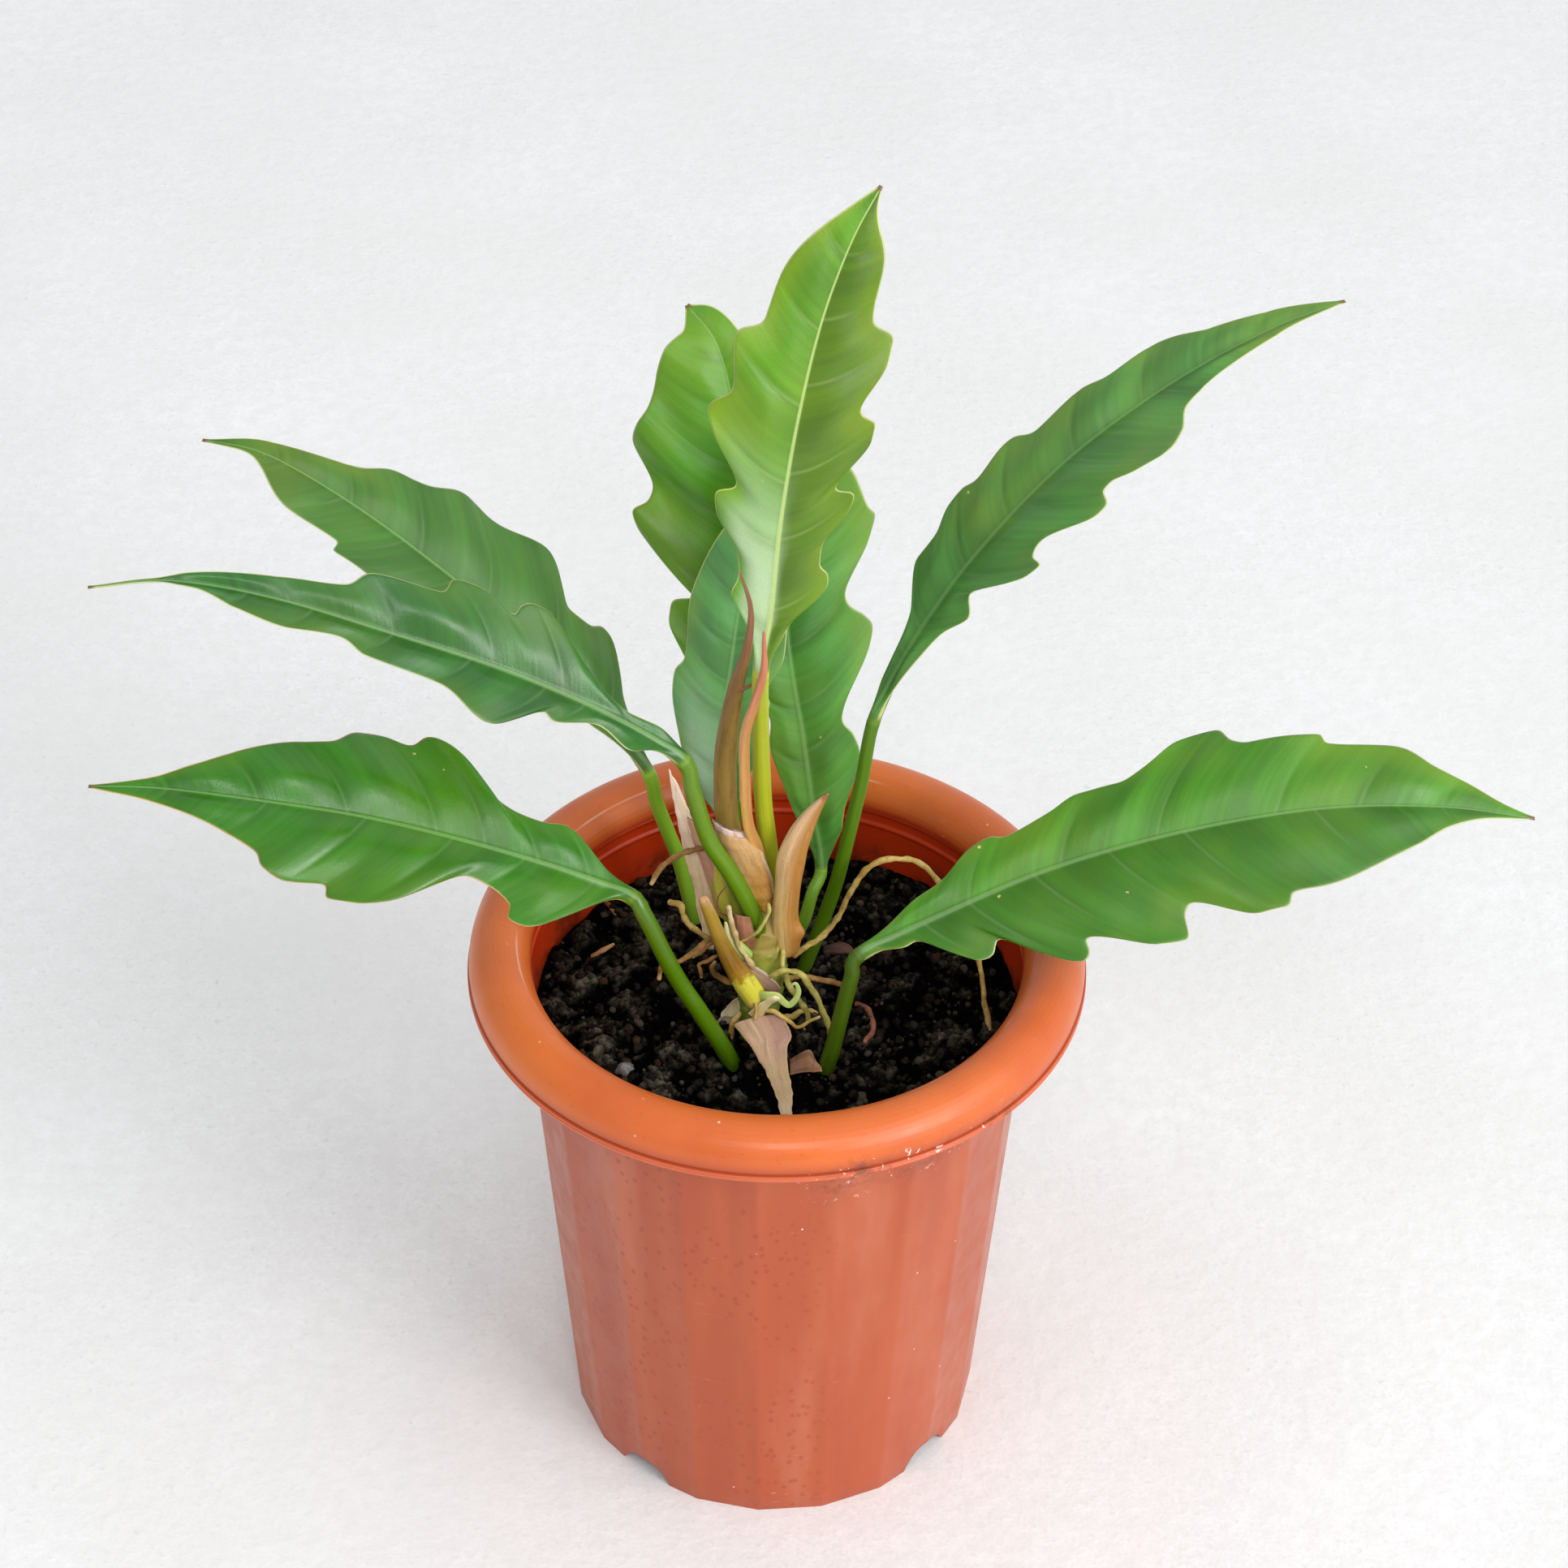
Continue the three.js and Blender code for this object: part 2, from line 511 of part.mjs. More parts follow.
// The pot's outside is flat between its corners: every point goes in to its facet's plane
function facet(geometry) {
  const place = geometry.attributes.position;
  const half = Math.PI / FACETS;
  for (let i = 0; i < place.count; i += 1) {
    const [x, y, z] = [place.getX(i), place.getY(i), place.getZ(i)];
    const radius = Math.hypot(x, y);
    const bodyRadius = bodyRadiusAt(z);
    if (z <= BODY_TOP + 0.1 && Math.abs(radius - bodyRadius) < 0.1) {
      const turn = Math.atan2(x, -y) - FACET_START;
      const past = turn - Math.floor(turn / (2 * half)) * 2 * half - half;
      const scale = (FACET_CORNER * Math.cos(half)) / Math.cos(past);
      place.setXYZ(i, x * scale, y * scale, z);
    }
  }
}

function bodyRadiusAt(z) {
  return THREE.MathUtils.lerp(FOOT_RADIUS, BODY_TOP_RADIUS, z / BODY_TOP);
}

function innerRadiusAt(z) {
  return bodyRadiusAt(z) - WALL;
}

// Half section of the pot, from the middle of its underside round the outside and back
function potProfile() {
  const skirt = [FLOOR.under, 0].map((z) => [innerRadiusAt(z), z]);
  const outside = [[FOOT_RADIUS, 0], [bodyRadiusAt(BODY_TOP), BODY_TOP]];
  const centre = [ROLL.radius, POT_HEIGHT - ROLL.up];
  const oval = (across, up, from, to, steps) => Array.from({ length: steps + 1 }, (_, i) => {
    const turn = THREE.MathUtils.degToRad(THREE.MathUtils.lerp(from, to, i / steps));
    return [centre[0] + across * Math.cos(turn), centre[1] + up * Math.sin(turn)];
  });
  const hollow = oval(ROLL.across - WALL, ROLL.up - WALL, 143, -14, 4);
  const lip = [[LIP.radius - WALL, BODY_TOP], [LIP.radius, BODY_TOP], [LIP.radius, LIP.top]];
  const roll = oval(ROLL.across, ROLL.up, -12, 180, ROLL.steps);
  const rings = INNER_RINGS.flatMap((z) => [
    [innerRadiusAt(z + 1), z + 1], [innerRadiusAt(z) - RING_PROUD, z], [innerRadiusAt(z - 1), z - 1]]);
  const floor = [[innerRadiusAt(FLOOR.top), FLOOR.top], [CENTRE_FOOT.radius + 3, FLOOR.top],
    [CENTRE_FOOT.radius - 1, FLOOR.top - FLOOR.under], [0, FLOOR.top - FLOOR.under]];
  const foot = [[0, 0], [CENTRE_FOOT.radius, 0], [CENTRE_FOOT.radius + CENTRE_FOOT.slope, FLOOR.under]];
  return [...foot, ...skirt, ...outside, ...hollow, ...lip, ...roll, ...rings, ...floor, [0, 0]];
}

// A lathe turned about +Z, with a segment edge on each facet's corner
function turned(profile, segments, start = 0) {
  const geometry = new THREE.LatheGeometry(profile.map(([r, z]) => new THREE.Vector2(r, z)), segments);
  geometry.rotateX(Math.PI / 2);
  geometry.rotateZ(start);
  return geometry;
}

function notchSolid(index) {
  const arch = new THREE.Shape();
  const half = NOTCH.width / 2;
  arch.moveTo(-half, -1);
  arch.lineTo(half, -1);
  arch.lineTo(half, NOTCH.height * 0.45);
  arch.quadraticCurveTo(half * 0.9, NOTCH.height, half * 0.5, NOTCH.height);
  arch.lineTo(-half * 0.5, NOTCH.height);
  arch.quadraticCurveTo(-half * 0.9, NOTCH.height, -half, NOTCH.height * 0.45);
  const geometry = new THREE.ExtrudeGeometry(arch, { depth: 14, bevelEnabled: false, curveSegments: 5 });
  geometry.rotateX(Math.PI / 2);
  geometry.translate(0, -(FOOT_RADIUS - 7), 0);
  geometry.rotateZ(NOTCH.start + (index * 2 * Math.PI) / NOTCH.count);
  return solidOf(geometry);
}

function drainSolid(index) {
  const geometry = new THREE.CylinderGeometry(DRAIN.radius, DRAIN.radius, 10, 12);
  geometry.rotateX(Math.PI / 2);
  geometry.translate(DRAIN.circle, 0, FLOOR.top - 2);
  geometry.rotateZ(((index + 0.5) * 2 * Math.PI) / DRAIN.count);
  return solidOf(geometry);
}

function addPot() {
  const geometry = turned(potProfile(), POT_SEGMENTS, FACET_START);
  facet(geometry);
  let pot = solidOf(geometry);
  for (let i = 0; i < NOTCH.count; i += 1) pot = pot.subtract(notchSolid(i));
  for (let i = 0; i < DRAIN.count; i += 1) pot = pot.subtract(drainSolid(i));
  add('pot', pot, 'pot', 0.45);
}

// Height of the soil: low lumps by a formula, and a slight rise round the stem
function soilHeight(x, y) {
  const lumps = Math.sin(0.31 * x + 0.9) * Math.cos(0.27 * y - 0.4) + 0.7 * Math.sin(0.17 * x - 0.23 * y + 2);
  const rise = 3 * Math.exp(-((x + 6) ** 2 + (y + 10) ** 2) / 900);
  return SOIL_LEVEL + SOIL_LUMP * lumps + rise;
}

function addSoil() {
  const edge = innerRadiusAt(SOIL_LEVEL) - SOIL_GAP;
  const low = FLOOR.top + SOIL_GAP;
  const foot = FLOOR.top - FLOOR.under + SOIL_GAP;
  const top = Array.from({ length: SOIL_RINGS + 1 }, (_, i) => [edge * (1 - i / SOIL_RINGS), SOIL_LEVEL]);
  const profile = [[0, foot], [CENTRE_FOOT.radius - 1.4, foot], [CENTRE_FOOT.radius + 2.6, low],
    [innerRadiusAt(low) - SOIL_GAP, low], ...top, [0, foot]];
  const geometry = turned(profile, SOIL_SEGMENTS);
  const place = geometry.attributes.position;
  for (let i = 0; i < place.count; i += 1) {
    const [x, y] = [place.getX(i), place.getY(i)];
    if (place.getZ(i) > SOIL_LEVEL - 1 && Math.hypot(x, y) < edge - 1) place.setZ(i, soilHeight(x, y));
  }
  add('soil', clearOfOthers(solidOf(geometry)), 'soil', 0.95);
}

function addPebble() {
  const geometry = new THREE.IcosahedronGeometry(PEBBLE.radius, 1);
  geometry.scale(1.1, 0.9, 0.7);
  geometry.translate(...PEBBLE.place);
  add('pebble', solidOf(geometry), 'pebble', 0.8);
  const grown = new THREE.IcosahedronGeometry(PEBBLE.radius + 2 * GAP, 1);
  grown.scale(1.1, 0.9, 0.7);
  grown.translate(...PEBBLE.place);
  keepClearOf(solidOf(grown));
}

for (const [name, leaf] of Object.entries(LEAVES)) {
  const colour = name === 'leaf_top_centre' ? 'pale_leaf' : 'leaf';
  add(name, leafSolid(leaf), colour, 0.35);
  keepClearOf(leafSolid(leaf, GAP, false));
}
for (const [name, shape] of Object.entries(NEW_LEAVES)) {
  addStrand(name, shape, name === 'new_leaf_pink' ? 'pink' : 'olive', 0.5, 8, 12);
}
addStrand('stem', STEM, 'stem', 0.6, 12, 10);
for (const [name, shape] of Object.entries(SHEATHS)) addStrand(name, shape, 'sheath', 0.6, 8, 9);
for (const [name, path] of Object.entries(ROOTS)) {
  const width = path.map((_, i) => (i === path.length - 1 ? 0.7 : 1) * ROOT_WIDTH);
  addStrand(name, { path, width, flat: 1, face: [0.1, -1, 0.35] }, 'root', 0.8, 6, 5);
}
for (const [name, shape] of Object.entries(SCRAPS)) {
  addStrand(name, shape, name === 'bark_chip' ? 'bark' : 'scrap', 0.9, 8, 7);
}
addPebble();
addSoil();
addPot();

export default part;
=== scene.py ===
# %% [markdown]
# A young philodendron with toothed leaves stands in a moulded plastic pot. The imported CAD
# model gives every piece its place and size. Here each piece is made again as a fine
# surface on the same measures, and gets its colours, veins, crumbs and gloss.
# Every table below is in millimetres, as in the CAD source, and a mesh is written in metres.

import math

import bmesh
import bpy
import numpy as np
from mathutils import Matrix, Vector


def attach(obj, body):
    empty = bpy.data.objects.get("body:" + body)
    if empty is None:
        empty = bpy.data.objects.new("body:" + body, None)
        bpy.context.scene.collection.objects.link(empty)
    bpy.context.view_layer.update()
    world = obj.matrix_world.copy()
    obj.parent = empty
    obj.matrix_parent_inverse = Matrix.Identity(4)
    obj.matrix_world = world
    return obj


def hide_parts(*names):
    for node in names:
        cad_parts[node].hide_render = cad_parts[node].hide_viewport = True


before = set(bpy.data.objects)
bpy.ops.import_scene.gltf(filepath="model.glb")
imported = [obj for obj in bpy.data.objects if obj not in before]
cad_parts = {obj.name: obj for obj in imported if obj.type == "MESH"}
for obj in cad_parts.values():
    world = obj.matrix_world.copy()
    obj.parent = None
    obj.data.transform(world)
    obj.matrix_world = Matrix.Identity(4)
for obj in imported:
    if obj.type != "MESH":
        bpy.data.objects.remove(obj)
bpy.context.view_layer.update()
MM = 0.001
print("nodes in the frame:", len(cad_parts))

# %% [markdown]
# The camera looks down at the pot from the front, about 40 degrees above the floor, through
# a long lens. It could be placed by eye, but its place was worked out from the ellipse of
# the rim and from the height of the pot, so it is written here as one set of measures.

# %% Camera
AIM = Vector((1.82, 0, 277.24)) * MM
DISTANCE = 1453.4 * MM
ELEVATION = math.radians(39.6)
ROLL = math.radians(0.54)
LENS = 101.07


def make_camera():
    """A camera at DISTANCE from AIM, raised by ELEVATION and rolled about its own axis by ROLL."""
    ahead = Vector((0, math.cos(ELEVATION), -math.sin(ELEVATION)))
    level = Vector((1, 0, 0))
    over = level.cross(ahead)
    right = math.cos(ROLL) * level + math.sin(ROLL) * over
    up = right.cross(ahead)
    data = bpy.data.cameras.new("camera")
    data.lens = LENS
    data.sensor_width = 36
    camera = bpy.data.objects.new("camera", data)
    turn = Matrix((right, up, -ahead)).transposed().to_4x4()
    camera.matrix_world = Matrix.Translation(AIM - DISTANCE * ahead) @ turn
    bpy.context.scene.collection.objects.link(camera)
    bpy.context.scene.camera = camera
    return camera


camera = make_camera()
print("camera at", [round(v, 3) for v in camera.matrix_world.translation])

# %% [markdown]
# Materials are node trees. They could be wired by hand in the editor. A small class keeps
# the code short: it adds a node, links what comes from another node, and sets a plain
# number or colour straight on the socket. Colours are named as they look on a screen, from
# 0 to 255, and are turned into the linear values that light needs.

# %% A class for finishes


def tone(red, green, blue):
    """Linear colour of a screen colour: each share to the power 2.4, after the usual offset."""
    share = np.array([red, green, blue]) / 255
    linear = np.where(share <= 0.04045, share / 12.92, ((share + 0.055) / 1.055) ** 2.4)
    return (*linear.tolist(), 1.0)


class Finish:
    """One material, with a short call for each kind of node that the finishes use."""

    def __init__(self, name, roughness=0.5, specular=0.5):
        self.material = bpy.data.materials.new(name)
        self.material.use_nodes = True
        self.tree = self.material.node_tree
        self.shader = self.tree.nodes["Principled BSDF"]
        self.shader.inputs["Roughness"].default_value = roughness
        self.shader.inputs["Specular IOR Level"].default_value = specular

    def put(self, socket, value):
        """A link where the value comes from a node, and the plain value otherwise."""
        if isinstance(value, bpy.types.NodeSocket):
            self.tree.links.new(value, socket)
        else:
            socket.default_value = value

    def set(self, **values):
        """Sockets of the shader by their names, as in Base_Color."""
        for name, value in values.items():
            self.put(self.shader.inputs[name.replace("_", " ")], value)

    def node(self, kind, inputs, **settings):
        """A new node with its settings, and a link or a value for each input."""
        made = self.tree.nodes.new(kind)
        for name, value in settings.items():
            setattr(made, name, value)
        for name, value in inputs.items():
            self.put(made.inputs[name], value)
        return made

    def place(self):
        """Object coordinates, in metres."""
        return self.node("ShaderNodeTexCoord", {}).outputs["Object"]

    def pattern(self, along, across):
        """The piece's own UV map, stretched, as a coordinate."""
        uv = self.node("ShaderNodeTexCoord", {}).outputs["UV"]
        return self.node("ShaderNodeMapping", {"Vector": uv, "Scale": (across, along, 1)}).outputs[0]

    def mark(self, name):
        """A value that the mesh carries at each point."""
        return self.node("ShaderNodeAttribute", {}, attribute_name=name).outputs["Fac"]

    def noise(self, scale, where, detail=3, roughness=0.55, distortion=0.0):
        """Soft random values, with as many finer layers as detail says."""
        inputs = {"Vector": where, "Scale": scale, "Detail": detail, "Roughness": roughness,
                  "Distortion": distortion}
        return self.node("ShaderNodeTexNoise", inputs).outputs["Fac"]

    def cells(self, scale, where, output="Distance"):
        """How far it is to the middle of the nearest cell of a Voronoi pattern."""
        return self.node("ShaderNodeTexVoronoi", {"Vector": where, "Scale": scale}).outputs[output]

    def patches(self, scale, where):
        """One random value for each cell of a Voronoi pattern."""
        return self.cells(scale, where, "Color")

    def math(self, operation, first, second=0.0):
        """One sum, product or the like of two values."""
        return self.node("ShaderNodeMath", {0: first, 1: second}, operation=operation).outputs[0]

    def ease(self, value, start, end, low=0.0, high=1.0):
        """A smooth step: low up to start, high from end on, and an S curve between."""
        inputs = {"Value": value, "From Min": start, "From Max": end, "To Min": low, "To Max": high}
        return self.node("ShaderNodeMapRange", inputs, interpolation_type="SMOOTHSTEP").outputs[0]

    def fall(self, value, start, end, high=1.0):
        """The other way round: high up to start, and nothing from end on."""
        return self.ease(value, start, end, high, 0.0)

    def beyond(self, value, start, end):
        """A smooth step between two places in millimetres."""
        return self.ease(value, start * MM, end * MM)

    def short_of(self, value, start, end, high=1.0):
        """A smooth fall between two places in millimetres."""
        return self.fall(value, start * MM, end * MM, high)

    def mix(self, share, first, second):
        """The first colour, with that share of the second one over it."""
        inputs = {0: share, 6: first, 7: second}
        return self.node("ShaderNodeMix", inputs, data_type="RGBA").outputs[2]

    def bump(self, height, distance, strength):
        """A bump of that many millimetres, on top of the bumps before it."""
        inputs = {"Height": height, "Distance": distance * MM, "Strength": strength}
        made = self.node("ShaderNodeBump", inputs)
        before = self.shader.inputs["Normal"].links
        if before:
            self.tree.links.new(before[0].from_socket, made.inputs["Normal"])
        self.tree.links.new(made.outputs[0], self.shader.inputs["Normal"])


# %% [markdown]
# Every surface here is a grid of points: rings along a path, with a fan that closes each
# end. numpy works out all the points at once, and foreach_set puts them into the mesh. A
# closed skin has an inside and an outside, so its volume is measured, and a skin that came
# out inside out has its faces turned.

# %% From a grid of points to a mesh


def build_mesh(name, points, faces, corner_uv=None, marks=None):
    """A mesh from points in millimetres and a list of face arrays, turned so that they point out."""
    points = np.asarray(points, float) * MM
    halves = [f[:, [0, 1, 2]] for f in faces] + [f[:, [0, 2, 3]] for f in faces if f.shape[1] == 4]
    tri = points[np.vstack(halves)]
    turned = np.einsum("ij,ij->", tri[:, 0], np.cross(tri[:, 1], tri[:, 2])) < 0
    if turned:
        faces = [f[:, ::-1] for f in faces]
        corner_uv = None if corner_uv is None else [u[:, ::-1] for u in corner_uv]
    mesh = bpy.data.meshes.new(name)
    mesh.vertices.add(len(points))
    mesh.vertices.foreach_set("co", points.ravel())
    sizes = np.concatenate([np.full(len(f), f.shape[1]) for f in faces])
    corners = np.concatenate([f.ravel() for f in faces])
    mesh.loops.add(len(corners))
    mesh.loops.foreach_set("vertex_index", corners.astype(np.int32))
    mesh.polygons.add(len(sizes))
    starts = np.concatenate([[0], np.cumsum(sizes)[:-1]])
    mesh.polygons.foreach_set("loop_start", starts.astype(np.int32))
    mesh.update(calc_edges=True)
    if corner_uv is not None:
        flat = np.concatenate([u.reshape(-1, 2) for u in corner_uv])
        mesh.uv_layers.new(name="UVMap").data.foreach_set("uv", flat.ravel())
    for mark, values in (marks or {}).items():
        layer = mesh.attributes.new(mark, "FLOAT", "POINT")
        layer.data.foreach_set("value", np.asarray(values, float).ravel())
    mesh.shade_smooth()
    piece = bpy.data.objects.new(name, mesh)
    bpy.context.scene.collection.objects.link(piece)
    return piece


def closed_skin(name, grid, uv=None, marks=None):
    """A skin over rings: quads join ring to ring and the last column to the first, and a fan to
    the middle of the first and last ring closes each end. uv has one column more, for the seam."""
    rows, cols = grid.shape[:2]
    points = np.vstack([grid.reshape(-1, 3), grid[0].mean(0), grid[-1].mean(0)])
    i, k = np.meshgrid(np.arange(rows - 1), np.arange(cols), indexing="ij")
    after = (k + 1) % cols
    quads = np.stack([i * cols + k, i * cols + after, (i + 1) * cols + after, (i + 1) * cols + k], -1)
    k = np.arange(cols)
    after = (k + 1) % cols
    last = (rows - 1) * cols
    low = np.stack([np.full(cols, rows * cols), after, k], -1)
    high = np.stack([np.full(cols, rows * cols + 1), last + k, last + after], -1)
    corner_uv = None
    if uv is not None:
        quad_uv = np.stack([uv[:-1, :-1], uv[:-1, 1:], uv[1:, 1:], uv[1:, :-1]], 2).reshape(-1, 4, 2)
        low_uv = np.stack([(uv[0, :-1] + uv[0, 1:]) / 2, uv[0, 1:], uv[0, :-1]], 1)
        high_uv = np.stack([(uv[-1, :-1] + uv[-1, 1:]) / 2, uv[-1, :-1], uv[-1, 1:]], 1)
        corner_uv = [quad_uv, low_uv, high_uv]
    full = {m: np.concatenate([v.ravel(), [v[0].mean(), v[-1].mean()]]) for m, v in (marks or {}).items()}
    return build_mesh(name, points, [quads.reshape(-1, 4), low, high], corner_uv, full)


def settle(piece, material, slot, *nodes):
    """The piece gets its finish, moves with the part's one body, and stands for its CAD nodes."""
    piece.data.materials.append(material)
    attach(piece, "root")
    if nodes:
        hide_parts(*nodes)
    sizes = np.empty(len(piece.data.polygons), np.int32)
    piece.data.polygons.foreach_get("loop_total", sizes)
    print(f"{piece.name}: {int((sizes - 2).sum())} triangles")


# %% [markdown]
# Stalks, veins, roots and sheaths all follow a path through a few named points. A Bezier
# curve object could carry them, but a path in numpy also gives the sideways axes that a
# flat blade needs. The curve is the same one as in the CAD source, so the fine piece lies
# in its solid.

# %% Paths through knots
SPAN_POINTS = 40


def unit(vectors):
    return vectors / np.linalg.norm(vectors, axis=-1, keepdims=True)


def route_through(knots):
    """Fine points on the cubic between each two knots whose slope at a knot is half the step from
    the knot before to the knot after, and the length up to each point."""
    p = np.asarray(knots, float)
    p = np.vstack([2 * p[0] - p[1], p, 2 * p[-1] - p[-2]])
    start, end = p[1:-2, None], p[2:-1, None]
    slope_in, slope_out = (p[2:-1] - p[:-3])[:, None] / 2, (p[3:] - p[1:-2])[:, None] / 2
    w = np.linspace(0, 1, SPAN_POINTS, endpoint=False)[None, :, None]
    curve = ((2 * w**3 - 3 * w**2 + 1) * start + (w**3 - 2 * w**2 + w) * slope_in
             + (3 * w**2 - 2 * w**3) * end + (w**3 - w**2) * slope_out)
    fine = np.vstack([curve.reshape(-1, 3), p[-2]])
    steps = np.linalg.norm(np.diff(fine, axis=0), axis=1)
    return fine, np.concatenate([[0], np.cumsum(steps)])


def along_route(fine, length, at, face):
    """Points of a path at the lengths given, with three axes at each: along the path, out of the
    face that is given, and to the right of one who walks the path."""
    def pick(values):
        return np.stack([np.interp(at, length, values[:, k]) for k in range(3)], -1)
    centre = pick(fine)
    along = unit(pick(unit(np.gradient(fine, axis=0))))
    face = np.broadcast_to(np.asarray(face, float), centre.shape)
    out = unit(face - np.sum(face * along, -1, keepdims=True) * along)
    return centre, along, out, np.cross(along, out)


# %% Smooth values between knots
DRIFT_HEIGHTS, DRIFT_START = 4096, 1000


def smooth_knots(knots, at):
    """A smooth line through knots that makes no new peak between them: its slope at a knot is the
    harmonic mean of the slopes on both sides, and none at a peak or a dip."""
    x, y = np.asarray(knots, float).T
    step, rise = np.diff(x), np.diff(y) / np.diff(x)
    before, after = rise[:-1], rise[1:]
    near, far = 2 * step[1:] + step[:-1], step[1:] + 2 * step[:-1]
    same = before * after > 0
    safe = np.where(same, before, 1), np.where(same, after, 1)
    middle = np.where(same, (near + far) / (near / safe[0] + far / safe[1]), 0)
    slope = np.concatenate([[rise[0]], middle, [rise[-1]]])
    i = np.clip(np.searchsorted(x, at, "right") - 1, 0, len(x) - 2)
    w = (at - x[i]) / step[i]
    return ((2 * w**3 - 3 * w**2 + 1) * y[i] + (w**3 - 2 * w**2 + w) * step[i] * slope[i]
            + (3 * w**2 - 2 * w**3) * y[i + 1] + (w**3 - w**2) * step[i] * slope[i + 1])


def ease(values, start, end):
    """0 up to start, 1 from end on, and an S curve between."""
    w = np.clip((values - start) / (end - start), 0, 1)
    return w * w * (3 - 2 * w)


def drift(at, seed, size=1.0):
    """Smooth noise along a line, about -1 to 1: random heights one size apart, eased from one to
    the next."""
    heights = np.random.default_rng(seed).uniform(-1, 1, DRIFT_HEIGHTS)
    x = np.asarray(at, float) / size + DRIFT_START
    i = np.floor(x).astype(int)
    before, after = heights[i % DRIFT_HEIGHTS], heights[(i + 1) % DRIFT_HEIGHTS]
    return before + (after - before) * ease(x - i, 0, 1)


two_steps, _ = route_through([[0, 0, 0], [10, 0, 0], [10, 10, 0]])
print("points on a path through three knots:", len(two_steps))

# %% [markdown]
# The pot is moulded in one piece: a rolled rim with a thin lip under it, a body of twenty
# flat facets, and a skirt with four arched notches to let water out. Its half section is
# turned about the axis as a lathe does. The flats and the notches could be cut with
# booleans, but here they are part of the same formula, so edges stay soft and clean. Only
# the drain holes are bored.

# %% Measures of the pot
# ROLL_TURN and HOLLOW_TURN say in degrees where the outside of the roll and the hollow under it
# start and end on their ovals. NOTCH_COLUMNS holds small angles from each edge of a notch.
POT_HEIGHT, WALL = 213, 2
FOOT_RADIUS, BODY_TOP_RADIUS, BODY_TOP = 72.1, 87.2, 197
FACETS, FACET_START, FACET_CORNER = 20, math.radians(-3.8), 1.006
RIB_PROUD, RIB_HALF = 0.22, 1.3
ROLL_RADIUS, ROLL_ACROSS, ROLL_UP = 94.4, 10.6, 11.3
LIP_RADIUS, LIP_TOP = 105.6, 199.3
INNER_RINGS, RING_PROUD = (200, 194.5), 0.7
FLOOR_UNDER, FLOOR_TOP = 10, 12.5
CENTRE_FOOT, CENTRE_SLOPE = 20, 4
NOTCHES, NOTCH_WIDTH, NOTCH_HEIGHT, NOTCH_START = 4, 22, 7.8, math.radians(50.2)
DRAINS, DRAIN_RADIUS, DRAIN_CIRCLE, DRILL_LENGTH = 8, 4, 48, 12
SKIRT = 30
ROLL_TURN, HOLLOW_TURN = (-8, 180), (143, -14)
AXIS_GAP, CORNER_CUT, CORNER_SHARE, LONGEST_STEP = 0.4, 0.3, 0.45, 10
POT_COLUMNS = 360
NOTCH_COLUMNS = (-0.004, -0.0012, 0.0002, 0.0016, 0.004)
print("rim across:", 2 * (ROLL_RADIUS + ROLL_ACROSS), "mm, pot high:", POT_HEIGHT, "mm")

# %% Half section of the pot


def body_radius(z):
    """Outside radius of the body at a height: a straight slope from the foot to the lip."""
    return FOOT_RADIUS + (BODY_TOP_RADIUS - FOOT_RADIUS) * np.asarray(z, float) / BODY_TOP


def inner_radius(z):
    """The outside radius less the wall."""
    return body_radius(z) - WALL


def oval(across, up, start, end, count):
    """Points on an oval about the middle of the roll, from one angle to another in degrees."""
    turn = np.radians(np.linspace(start, end, count))
    return np.stack([ROLL_RADIUS + across * np.cos(turn), POT_HEIGHT - ROLL_UP + up * np.sin(turn)], -1)


def soften(profile):
    """Each corner of a profile is cut back and bridged by three points on a small curve."""
    before, corner, after = profile[:-2], profile[1:-1], profile[2:]

    def cut_back(other):
        long = np.linalg.norm(other - corner, axis=1)
        return corner + unit(other - corner) * np.minimum(CORNER_CUT, long * CORNER_SHARE)[:, None]

    start, end = cut_back(before), cut_back(after)
    middle = (start + 2 * corner + end) / 4
    bridged = np.stack([start, middle, end], 1).reshape(-1, 2)
    return np.vstack([profile[:1], bridged, profile[-1:]])


